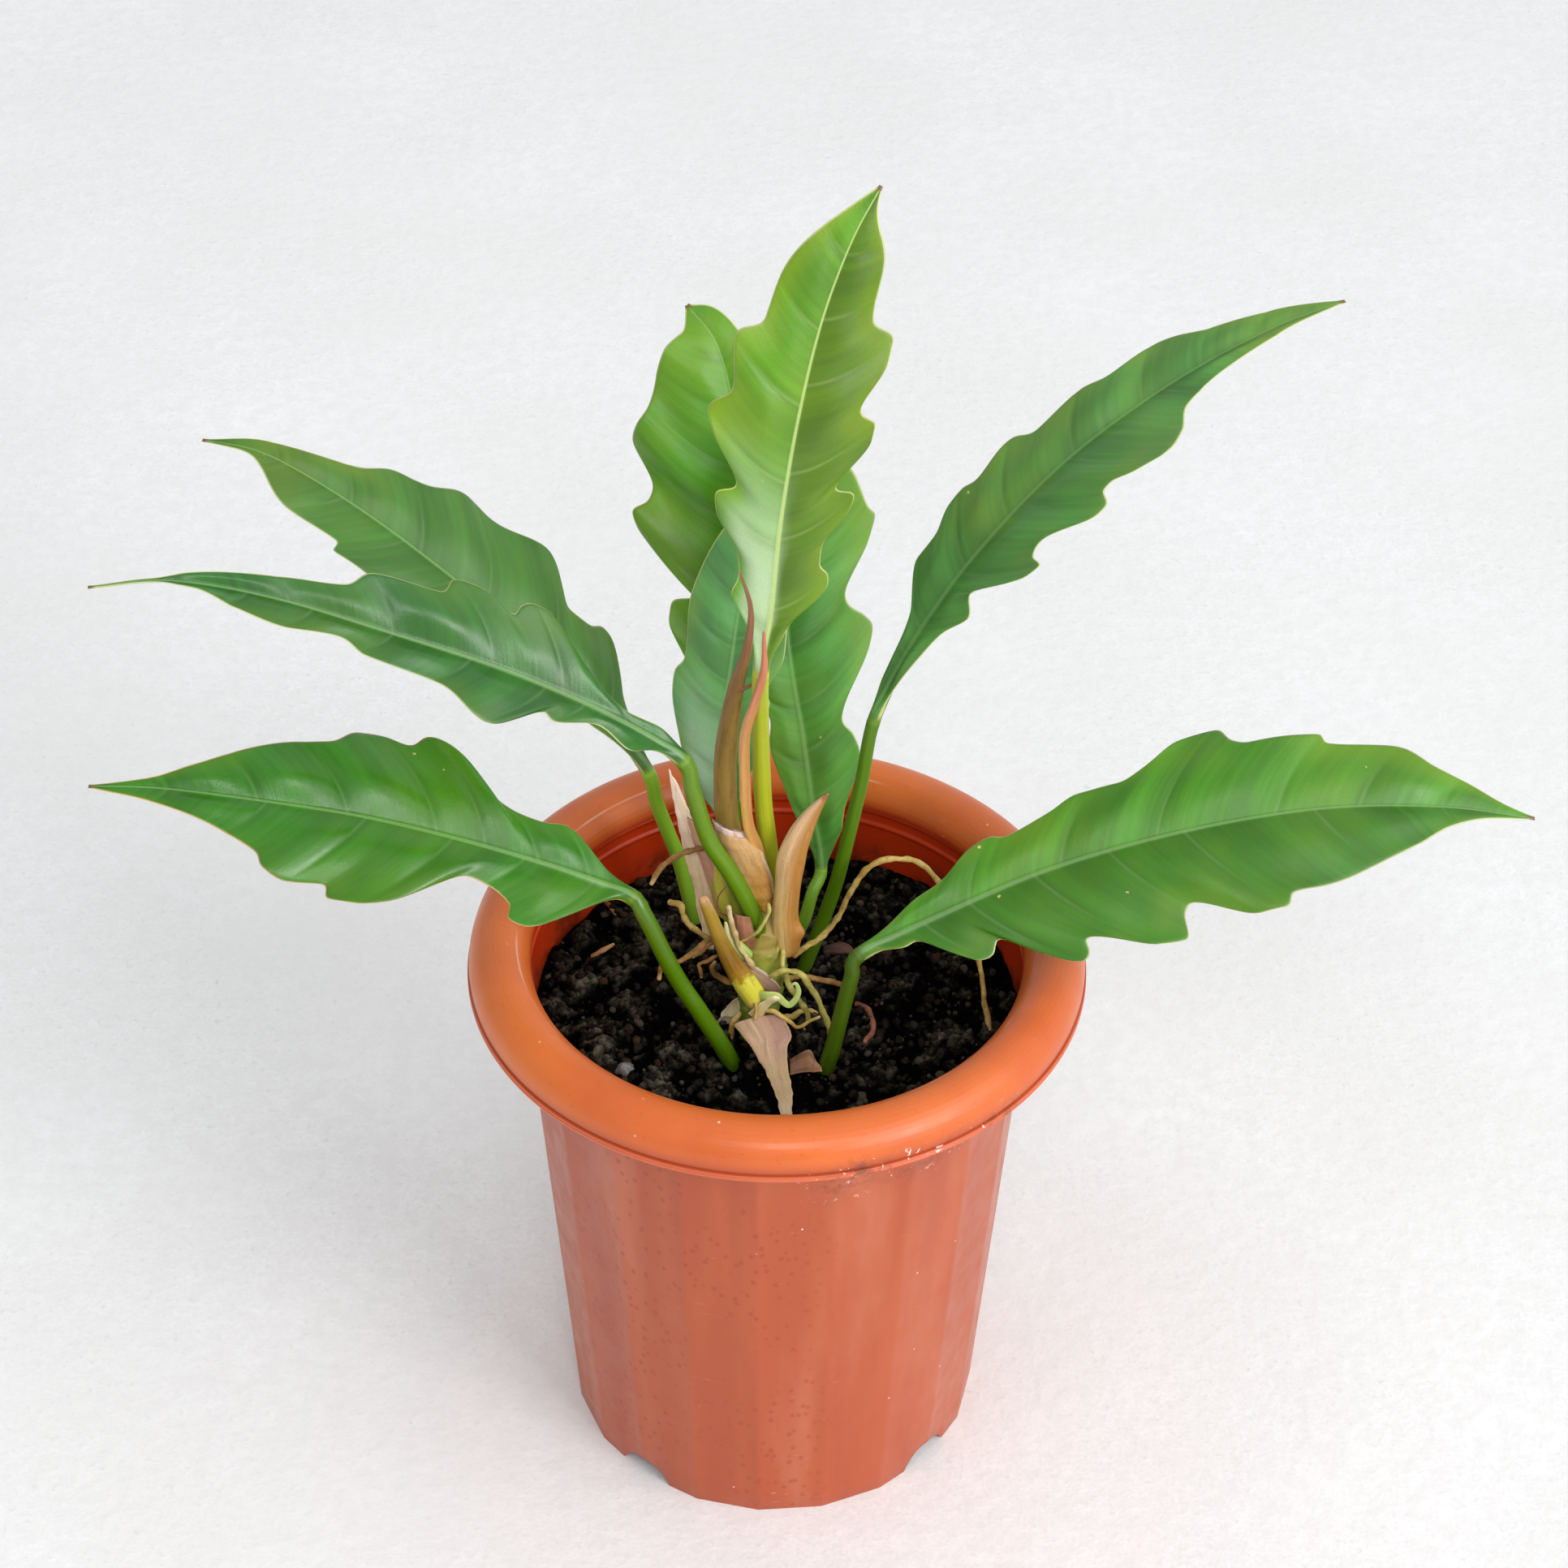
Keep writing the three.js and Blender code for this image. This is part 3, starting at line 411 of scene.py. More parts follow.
def pot_profile():
    """Half section from the middle of the underside, round the outside and back inside, with
    points added on long straight stretches."""
    under = [[AXIS_GAP, 0], [CENTRE_FOOT, 0], [CENTRE_FOOT + CENTRE_SLOPE, FLOOR_UNDER],
             [inner_radius(FLOOR_UNDER), FLOOR_UNDER], [inner_radius(0), 0], [FOOT_RADIUS, 0]]
    outside = [[body_radius(z), z] for z in (BODY_TOP * 0.5, BODY_TOP)]
    hollow = oval(ROLL_ACROSS - WALL, ROLL_UP - WALL, *HOLLOW_TURN, 7)
    lip = [[LIP_RADIUS - WALL, BODY_TOP], [LIP_RADIUS - 0.1, BODY_TOP], [LIP_RADIUS, BODY_TOP + 0.9],
           [LIP_RADIUS - 0.4, BODY_TOP + 1.15], [LIP_RADIUS - 0.4, BODY_TOP + 1.35],
           [LIP_RADIUS - 0.05, BODY_TOP + 1.6], [LIP_RADIUS - 0.1, LIP_TOP],
           [LIP_RADIUS - 1.5, LIP_TOP + 0.1]]
    roll = oval(ROLL_ACROSS, ROLL_UP, *ROLL_TURN, 20)
    rings = [[inner_radius(z + up) - proud, z + up] for z in INNER_RINGS
             for up, proud in ((1.2, 0), (0.5, RING_PROUD), (-0.4, RING_PROUD), (-1.2, 0))]
    inside = [[inner_radius(FLOOR_TOP), FLOOR_TOP], [CENTRE_FOOT + 3, FLOOR_TOP],
              [CENTRE_FOOT - 1, FLOOR_TOP - FLOOR_UNDER], [AXIS_GAP, FLOOR_TOP - FLOOR_UNDER]]
    profile = soften(np.vstack([under, outside, hollow, lip, roll, rings, inside]))
    steps = np.linalg.norm(np.diff(profile, axis=0), axis=1)
    counts = np.maximum(1, np.ceil(steps / LONGEST_STEP)).astype(int)
    pieces = [np.linspace(a, b, n, endpoint=False) for a, b, n in zip(profile[:-1], profile[1:], counts)]
    return np.vstack([*pieces, profile[-1:]])


print("points in the half section:", len(pot_profile()))

# %% Facets and notches of the pot


def notch_rise(turn):
    """Height of the arch over each angle: one at the middle less a power of the way to the side,
    so that the arch has a broad top and runs out in slanted feet."""
    spacing = 2 * math.pi / NOTCHES
    off = np.abs((turn - NOTCH_START + spacing / 2) % spacing - spacing / 2) * FOOT_RADIUS
    return NOTCH_HEIGHT * (1 - np.clip(off / (NOTCH_WIDTH / 2), 0, 1) ** 2.4)


def facet_scale(turn):
    """How far each angle lies in from the circle: on a flat between two corners, with the corner
    rounded off by a soft limit and raised in a low narrow rib."""
    half = math.pi / FACETS
    past = (turn - FACET_START) % (2 * half) - half
    flat = FACET_CORNER * math.cos(half) / np.cos(past)
    limit, soft = FACET_CORNER - 0.003, 500
    rounded = -np.log(np.exp(-soft * (flat - 1)) + np.exp(-soft * (limit - 1))) / soft + 1
    off = (half - np.abs(past)) * FOOT_RADIUS
    return rounded + RIB_PROUD / FOOT_RADIUS * np.exp(-((off / RIB_HALF) ** 2))


print("rise at the middle of a notch:", round(float(notch_rise(NOTCH_START)), 2), "mm")

# %% The pot's surface


def pot_grid():
    """The half section turned about the axis, with some more columns close to each edge of a
    notch. On the outside of the body each point goes in to its facet, and near the ground the
    skirt is squeezed up over the notches."""
    profile = pot_profile()
    turns = np.linspace(0, 2 * math.pi, POT_COLUMNS, endpoint=False)
    spacing, reach = 2 * math.pi / NOTCHES, NOTCH_WIDTH / 2 / FOOT_RADIUS
    edges = NOTCH_START + np.arange(NOTCHES)[:, None] * spacing + np.array([-reach, reach])
    near = (edges[..., None] + np.array(NOTCH_COLUMNS)).ravel() % (2 * math.pi)
    turns = np.unique(np.concatenate([turns, near]))
    radius = np.repeat(profile[:, :1], len(turns), 1)
    z = np.repeat(profile[:, 1:], len(turns), 1)
    outside = (np.abs(profile[:, 0] - body_radius(profile[:, 1])) < 0.6) & (profile[:, 1] < BODY_TOP + 2)
    radius *= np.where(outside[:, None], facet_scale(turns)[None], 1)
    skirt = (profile[:, 0] > inner_radius(0) - 1)[:, None] & (z < SKIRT)
    rise = notch_rise(turns)[None]
    z = np.where(skirt, rise + z * (SKIRT - rise) / SKIRT, z)
    return np.stack([radius * np.sin(turns), -radius * np.cos(turns), z], -1)


def cut_drains(piece):
    """The drain holes are bored through the floor: one boolean with all the drills, then applied."""
    drills = bmesh.new()
    for i in range(DRAINS):
        turn = (i + 0.5) * 2 * math.pi / DRAINS
        at = Vector((math.cos(turn), math.sin(turn), 0)) * DRAIN_CIRCLE * MM + Vector((0, 0, FLOOR_TOP * MM))
        bmesh.ops.create_cone(drills, cap_ends=True, segments=32, radius1=DRAIN_RADIUS * MM,
                              radius2=DRAIN_RADIUS * MM, depth=DRILL_LENGTH * MM,
                              matrix=Matrix.Translation(at))
    mesh = bpy.data.meshes.new("drills")
    drills.to_mesh(mesh)
    drills.free()
    drill = bpy.data.objects.new("drills", mesh)
    bpy.context.scene.collection.objects.link(drill)
    cut = piece.modifiers.new("drains", "BOOLEAN")
    cut.operation, cut.solver, cut.object = "DIFFERENCE", "EXACT", drill
    graph = bpy.context.evaluated_depsgraph_get()
    bored = bpy.data.meshes.new_from_object(piece.evaluated_get(graph))
    piece.modifiers.clear()
    piece.data = bored
    bpy.data.objects.remove(drill)


pot = closed_skin("flower_pot", pot_grid())
cut_drains(pot)

# %% [markdown]
# The plastic is a warm terracotta colour, smooth on the roll. The body is painted darker and
# duller than the roll, as shade on its upright sides, and the roll is also a more saturated
# orange. There are fine scuffs, a few pale scratches and a trace of soil under the rim. A single
# colour would look like a toy, so the colour, the gloss and the bump all vary.

# %% Plastic of the pot


def squeezed(f, place, across, up):
    """Object coordinates with one scale for X and Y and another for Z, so that a pattern is drawn
    out upright or level."""
    return f.node("ShaderNodeMapping", {"Vector": place, "Scale": (across, across, up)}).outputs[0]


def bare_plastic(f, place, height):
    """The moulded colour: streaked upright on the body, brighter on the roll, and clouds and fine
    flecks all over. The body is painted darker than the roll, as shade on its upright sides,
    while the roll is also a more saturated orange. The band just over the lip is darker: partly a
    deeper colour, partly painted shade."""
    streaks = f.noise(1, squeezed(f, place, 60, 3), 3, 0.5)
    # Painted shade: the body's colour is darker than the roll's, for the shade on its upright sides.
    body = f.mix(f.ease(streaks, 0.32, 0.68), tone(170, 73, 35), tone(181, 84, 43))
    roll = f.mix(f.ease(f.noise(18, place, 4), 0.3, 0.7), tone(208, 98, 38), tone(220, 112, 47))
    # Painted shade: the roll is darker just over the lip, partly also a deeper colour.
    roll = f.mix(f.short_of(height, LIP_TOP, LIP_TOP + 5.2, 0.75), roll, tone(172, 66, 32))
    roll = f.mix(f.short_of(height, LIP_TOP - 0.2, LIP_TOP), roll, tone(214, 104, 62))
    colour = f.mix(f.beyond(height, BODY_TOP - 0.5, BODY_TOP), body, roll)
    cloud = f.ease(f.noise(11, place, 4), 0.4, 0.7, 0, 0.4)
    colour = f.mix(cloud, colour, tone(172, 73, 40))
    fleck = f.ease(f.noise(520, place, 3, 0.6), 0.62, 0.74, 0, 0.45)
    return f.mix(fleck, colour, tone(188, 74, 36))


# %% Wear of the pot
SEAM_RADIUS = 88.5


def pale_scuffs(f, place, height, out, under_lip):
    """Thin level scratches, small chips, the mould's seam round the inside of the roll, and pale
    flakes under the lip."""
    lines = f.ease(f.noise(1, squeezed(f, place, 55, 900), 2, 0.5, 2.5), 0.72, 0.77)
    lines = f.math("MULTIPLY", lines, f.ease(f.noise(46, place), 0.5, 0.66, 0, 0.55))
    chips = f.fall(f.cells(170, place), 0.04, 0.09)
    chips = f.math("MULTIPLY", chips, f.ease(f.noise(60, place, 4), 0.6, 0.68))
    from_seam = f.math("ABSOLUTE", f.math("SUBTRACT", out, SEAM_RADIUS * MM))
    seam = f.math("MULTIPLY", f.short_of(from_seam, 0.12, 0.4), f.beyond(height, 203, 206))
    seam = f.math("MULTIPLY", seam, f.ease(f.noise(24, place, 4), 0.46, 0.62, 0, 0.45))
    flakes = f.math("MULTIPLY", f.ease(f.noise(300, place, 1, 0.5, 1.5), 0.69, 0.73), under_lip)
    return f.math("MAXIMUM", f.math("MAXIMUM", lines, chips), f.math("MAXIMUM", seam, flakes))


def dried_drops(f, place, height, x):
    """Small dark drops below the rim, fewer to the right."""
    drop = f.fall(f.cells(1, squeezed(f, place, 270, 210)), 0.16, 0.34)
    here = f.ease(f.noise(30, place, 3), 0.38, 0.54, 0, 0.7)
    drops = f.math("MULTIPLY", f.math("MULTIPLY", drop, here), f.short_of(height, 170, 190))
    return f.math("MULTIPLY", drops, f.short_of(x, 0, 35, 0.9))


def pale_dust(f, place, height):
    """Dust drawn out upright on the body."""
    dust = f.ease(f.noise(1, squeezed(f, place, 26, 5), 4, 0.6), 0.5, 0.75, 0, 0.3)
    return f.math("MULTIPLY", dust, f.short_of(height, 190, BODY_TOP))


def traces_of_soil(f, place, under_lip):
    """Brown smears under the lip, in patches."""
    dirt = f.math("MULTIPLY", f.ease(f.noise(260, place, 5, 0.7), 0.42, 0.62, 0, 0.8), under_lip)
    return f.math("MULTIPLY", dirt, f.ease(f.noise(40, place, 2), 0.38, 0.58))


# %% Finish of the pot


def pot_finish():
    """The plastic under its dust, drops, soil and scuffs. The inside is painted a deeper, more
    saturated red, which stands in for its shade and the light bounced inside the pot, and it is
    dark where it meets the soil."""
    f = Finish("terracotta_plastic")
    place = f.place()
    parts = f.node("ShaderNodeSeparateXYZ", {"Vector": place}).outputs
    x, y, height = parts["X"], parts["Y"], parts["Z"]
    out = f.math("SQRT", f.math("ADD", f.math("MULTIPLY", x, x), f.math("MULTIPLY", y, y)))
    slope = (BODY_TOP_RADIUS - FOOT_RADIUS) / BODY_TOP
    wall = f.math("ADD", f.math("MULTIPLY", height, slope), FOOT_RADIUS * MM)
    past_wall = f.math("SUBTRACT", out, wall)
    under_lip = f.math("MULTIPLY", f.beyond(height, 160, 179), f.short_of(height, 200, 206))
    on_right = f.math("MULTIPLY", f.beyond(x, 2, 20), f.short_of(x, 66, 90))
    under_lip = f.math("MULTIPLY", under_lip, on_right)
    drops = dried_drops(f, place, height, x)
    scuffs = pale_scuffs(f, place, height, out, under_lip)
    within = f.math("MULTIPLY", f.short_of(past_wall, -1.6, -0.4), f.short_of(height, 200, 207))
    soiled = f.ease(f.noise(60, place, 5, 0.7), 0.45, 0.65, 0.1, 0.75)
    near_soil = f.math("MULTIPLY", f.short_of(height, 181, 190), f.math("MULTIPLY", within, soiled))
    colour = bare_plastic(f, place, height)
    colour = f.mix(pale_dust(f, place, height), colour, tone(206, 132, 102))
    colour = f.mix(drops, colour, tone(158, 56, 26))
    colour = f.mix(traces_of_soil(f, place, under_lip), colour, tone(120, 58, 40))
    colour = f.mix(scuffs, colour, tone(238, 208, 194))
    # Painted shade and bounced light: the inner wall is a deeper, more saturated red.
    colour = f.mix(within, colour, tone(196, 54, 14))
    colour = f.mix(near_soil, colour, tone(62, 34, 24))
    f.set(Base_Color=colour)
    rough = f.ease(f.noise(90, place, 4), 0.3, 0.7, 0.3, 0.42)
    f.set(Roughness=f.math("ADD", rough, f.math("MULTIPLY", scuffs, 0.3)))
    f.bump(f.noise(900, place, 2), 0.05, 0.35)
    f.bump(f.noise(60, place, 2), 0.5, 0.2)
    f.bump(drops, 0.08, 0.6)
    return f.material


settle(pot, pot_finish(), "pot", "pot")

# %% [markdown]
# Potting soil is a heap of dark crumbs of every size. A flat disc with a bump map would
# give itself away at the rim, so the surface is a real relief: rounded lumps of four sizes
# are laid over the level of the soil, each lump a small dome about a random point.

# %% The soil's relief
# SOIL_FOOT_WALL is the height at which the wall is as wide as the foot of the soil.
SOIL_LEVEL, SOIL_GAP, SOIL_LUMP = 177, 0.4, 1.3
SOIL_FOOT = FLOOR_TOP + SOIL_GAP
SOIL_FOOT_WALL = 14
CRUMB_SIZES = ((10.0, 3.4), (5.4, 3.0), (2.9, 1.8), (1.6, 0.9))
CRUMB_SEED = 20
FLAP_SPOT, FLAP_REACH = (3, -47), (7, 12)


def soil_level(x, y):
    """The CAD level: low waves, and a slight rise round the stem."""
    waves = np.sin(0.31 * x + 0.9) * np.cos(0.27 * y - 0.4) + 0.7 * np.sin(0.17 * x - 0.23 * y + 2)
    return SOIL_LEVEL + SOIL_LUMP * waves + 3 * np.exp(-((x + 6) ** 2 + (y + 10) ** 2) / 900)


def domes(x, y, size, seed):
    """Rounded lumps: the plane is split into squares of that size with one random point in each,
    and the height over the nearest dome is its radius squared less the distance squared, rooted."""
    count = 64
    rng = np.random.default_rng(seed)
    shift, reach = rng.uniform(0, 1, (2, count, count)), rng.uniform(0.45, 0.95, (count, count))
    i, j = np.floor(x / size).astype(int), np.floor(y / size).astype(int)
    best = np.zeros_like(x)
    for step_i in (-1, 0, 1):
        for step_j in (-1, 0, 1):
            a, b = (i + step_i) % count, (j + step_j) % count
            dx = x / size - (i + step_i + shift[0, a, b])
            dy = y / size - (j + step_j + shift[1, a, b])
            best = np.maximum(best, np.sqrt(np.maximum(0, reach[a, b] ** 2 - dx**2 - dy**2)))
    return best


def off_flap(x, y):
    """0 in the middle of the spot where the dried flap lies, and 1 on the oval round it."""
    return ((x - FLAP_SPOT[0]) / FLAP_REACH[0]) ** 2 + ((y - FLAP_SPOT[1]) / FLAP_REACH[1]) ** 2


def crumbs(x, y):
    """The sum of the domes of every size, each raised to its own height, on a grid that is pulled
    about by smooth waves. Under the dried flap the relief is pressed flat."""
    wave_x = x + 0.9 * np.sin(0.9 * y + 1) + 0.35 * np.sin(2.3 * y)
    wave_y = y + 0.9 * np.sin(0.8 * x + 2) + 0.35 * np.sin(2.7 * x)
    relief = sum(height * (domes(wave_x, wave_y, size, CRUMB_SEED + k) - 0.5)
                 for k, (size, height) in enumerate(CRUMB_SIZES))
    pressed = np.exp(-(off_flap(x, y) ** 2))
    return relief * (1 - 0.8 * pressed) - 0.6 * pressed


print("soil level by the stem:", round(float(soil_level(-6, -10)), 1), "mm")

# %% The body of soil
SOIL_CELLS = 265


def make_soil():
    """A square grid drawn out to a disc, with its edge dropped down the wall and closed below."""
    edge = float(inner_radius(SOIL_LEVEL)) - SOIL_GAP
    u, v = np.meshgrid(*[np.linspace(-1, 1, SOIL_CELLS + 1)] * 2, indexing="ij")
    x, y = edge * u * np.sqrt(1 - v**2 / 2), edge * v * np.sqrt(1 - u**2 / 2)
    calm = 1 - ease(np.hypot(x, y), edge - 3, edge)
    relief = crumbs(x, y) * (0.35 + 0.65 * calm)
    top = np.stack([x, y, soil_level(x, y) + relief], -1).reshape(-1, 3)
    n = SOIL_CELLS + 1
    index = np.arange(n * n).reshape(n, n)
    quads = np.stack([index[:-1, :-1], index[1:, :-1], index[1:, 1:], index[:-1, 1:]], -1).reshape(-1, 4)
    rim = np.concatenate([index[:-1, 0], index[-1, :-1], index[:0:-1, -1], index[0, :0:-1]])
    narrow = inner_radius(SOIL_FOOT_WALL) / inner_radius(SOIL_LEVEL)
    low = top[rim] * [narrow, narrow, 0] + [0, 0, SOIL_FOOT]
    base = len(top) + np.arange(len(rim))
    after = np.roll(np.arange(len(rim)), -1)
    wall = np.stack([rim, base, base[after], rim[after]], -1)
    fan = np.stack([np.full(len(rim), len(top) + len(rim)), base[after], base], -1)
    points = np.vstack([top, low, [[0, 0, SOIL_FOOT]]])
    raised = np.concatenate([relief.ravel(), np.zeros(len(rim) + 1)])
    return build_mesh("potting_soil", points, [quads, wall, fan], marks={"raised": raised})


soil = make_soil()
print("points in the soil:", len(soil.data.vertices))

# %% [markdown]
# The soil is painted nearly black in its cracks, as shade, and paler on its lumps. A noise alone
# would spread light and dark without regard to the relief, so the mesh carries how far each
# point is raised, and the finish paints shade into what lies low.

# %% Finish of the soil


def soil_finish(name, low, high, relief=False, tinted=False):
    """Black in the cracks, as painted shade where the relief lies low, and paler on the lumps, some
    grey and some brown, with paler grains here and there and a fine rough bump. Each loose crumb
    has a tint of its own."""
    f = Finish(name, roughness=0.95, specular=0.04)
    place = f.place()
    colour = f.mix(f.ease(f.noise(260, place, 5, 0.7), 0.35, 0.72), low, high)
    lump = f.patches(260, place)
    colour = f.mix(f.ease(lump, 0.6, 0.8, 0, 0.4), colour, tone(46, 36, 26))
    if tinted:
        tint = f.mark("tint")
        colour = f.mix(f.ease(tint, 0.7, 1.0, 0, 0.45), colour, tone(104, 96, 82))
        colour = f.mix(f.fall(tint, 0.04, 0.16, 0.45), colour, tone(90, 64, 46))
    grain = f.ease(f.noise(1500, place, 3, 0.6), 0.6, 0.74, 0, 0.7)
    grain = f.math("MULTIPLY", grain, f.ease(f.noise(45, place), 0.4, 0.62))
    colour = f.mix(grain, colour, tone(112, 98, 82))
    fibre = f.fall(f.cells(900, place), 0.02, 0.12, 0.5)
    fibre = f.math("MULTIPLY", fibre, f.ease(f.noise(70, place), 0.6, 0.72))
    colour = f.mix(fibre, colour, tone(128, 88, 58))
    # Painted shade: what lies low in the relief is made black.
    if relief:
        colour = f.mix(f.fall(f.mark("raised"), 0.1, 4.0), colour, tone(1, 1, 1))
    f.set(Base_Color=colour)
    f.bump(f.noise(1100, place, 4, 0.7), 0.6, 1)
    f.bump(f.noise(420, place, 3, 0.6), 0.9, 0.8)
    return f.material


settle(soil, soil_finish("soil_dark", tone(3, 3, 3), tone(134, 125, 107), relief=True), "soil", "soil")

# %% [markdown]
# Loose crumbs lie on the soil and break up its surface. They could be scattered as copies of
# one object, but then all would be alike, so one mesh holds them all and each has its own
# size, shape, turn and tint.

# %% Loose crumbs that lie on the soil
CRUMB_COUNT, CRUMB_FIELD = 1600, 82
CRUMB_SMALLEST, CRUMB_SPREAD, CRUMB_UNDER_FLAP = 0.5, 1.5, 0.4


def crumb_form():
    """Points and faces of a small ball of 80 triangles, the start of every crumb."""
    ball = bmesh.new()
    bmesh.ops.create_icosphere(ball, subdivisions=2, radius=1)
    points = np.array([v.co[:] for v in ball.verts])
    faces = np.array([[v.index for v in f.verts] for f in ball.faces])
    ball.free()
    return points, faces


def random_turns(rng, count):
    """Random turns as matrices: three random vectors made square to each other."""
    return np.linalg.qr(rng.normal(size=(count, 3, 3)))[0]


def make_crumbs():
    """Each crumb is the ball with every point moved in or out at random, pressed a little flat,
    turned at random and laid on the relief."""
    rng = np.random.default_rng(5)
    points, faces = crumb_form()
    turn = rng.uniform(0, 2 * math.pi, CRUMB_COUNT)
    far = CRUMB_FIELD * np.sqrt(rng.uniform(0, 1, CRUMB_COUNT))
    size = CRUMB_SMALLEST + CRUMB_SPREAD * rng.uniform(0, 1, CRUMB_COUNT) ** 2.5
    far = np.minimum(far, float(inner_radius(SOIL_LEVEL)) - 1 - 1.3 * size)
    x, y = far * np.cos(turn), far * np.sin(turn)
    size = np.where(off_flap(x, y) < 1.4, CRUMB_UNDER_FLAP, size)
    z = soil_level(x, y) + crumbs(x, y) + 0.35 * size
    bumpy = points[None] * rng.uniform(0.72, 1.18, (CRUMB_COUNT, len(points), 1))
    bumpy = bumpy * rng.uniform(0.7, 1.15, (CRUMB_COUNT, 1, 3)) * size[:, None, None]
    turned = np.einsum("nij,npj->npi", random_turns(rng, CRUMB_COUNT), bumpy)
    turned += np.stack([x, y, z], -1)[:, None]
    index = faces[None] + np.arange(CRUMB_COUNT)[:, None, None] * len(points)
    tint = np.repeat(rng.uniform(0, 1, CRUMB_COUNT), len(points))
    return build_mesh("soil_crumbs", turned.reshape(-1, 3), [index.reshape(-1, 3)], marks={"tint": tint})


settle(make_crumbs(), soil_finish("soil_crumb", tone(7, 6, 5), tone(46, 39, 32), tinted=True), "soil")

# %% [markdown]
# A leaf of this plant has a round stalk, a pale rib and a long blade whose edge runs out in
# rounded teeth that point to the tip. Each side vein ends in a tooth. So the blade is a
# grid that follows the veins: one parameter runs up the rib, the other out along a vein, and
# the list of teeth says how far each vein reaches. The blade could be a flat outline with a
# modifier for its thickness, but then the veins would need a picture to follow.

# %% Measures of the leaves
VEIN_SWEEP, VEIN_BOW = math.radians(38), 3.0
BLADE_HALF, EDGE_ROUND = 0.34, 0.9
BLADE_ARCH, BLADE_HOLLOW = 0.1, 0.25
RIPPLE_HEIGHT, RIPPLE_COUNT = 1.5, 4
QUILT_RISE, QUILT_WIDEST = 0.045, 26
GROOVE_DEPTH, GROOVE_HALF = 0.2, 1.2
STALK_FOOT, STALK_TOP, STALK_SLIM = 3.5, 3.0, 0.92
RIB_BASE, RIB_TIP = 2.6, 0.5
TIP_REACH = 0.6
BLEND_END = 0.05
BLADE_ROWS, STALK_STEP = 220, 2.5
HALF_RING, RIB_POINTS = 18, 5

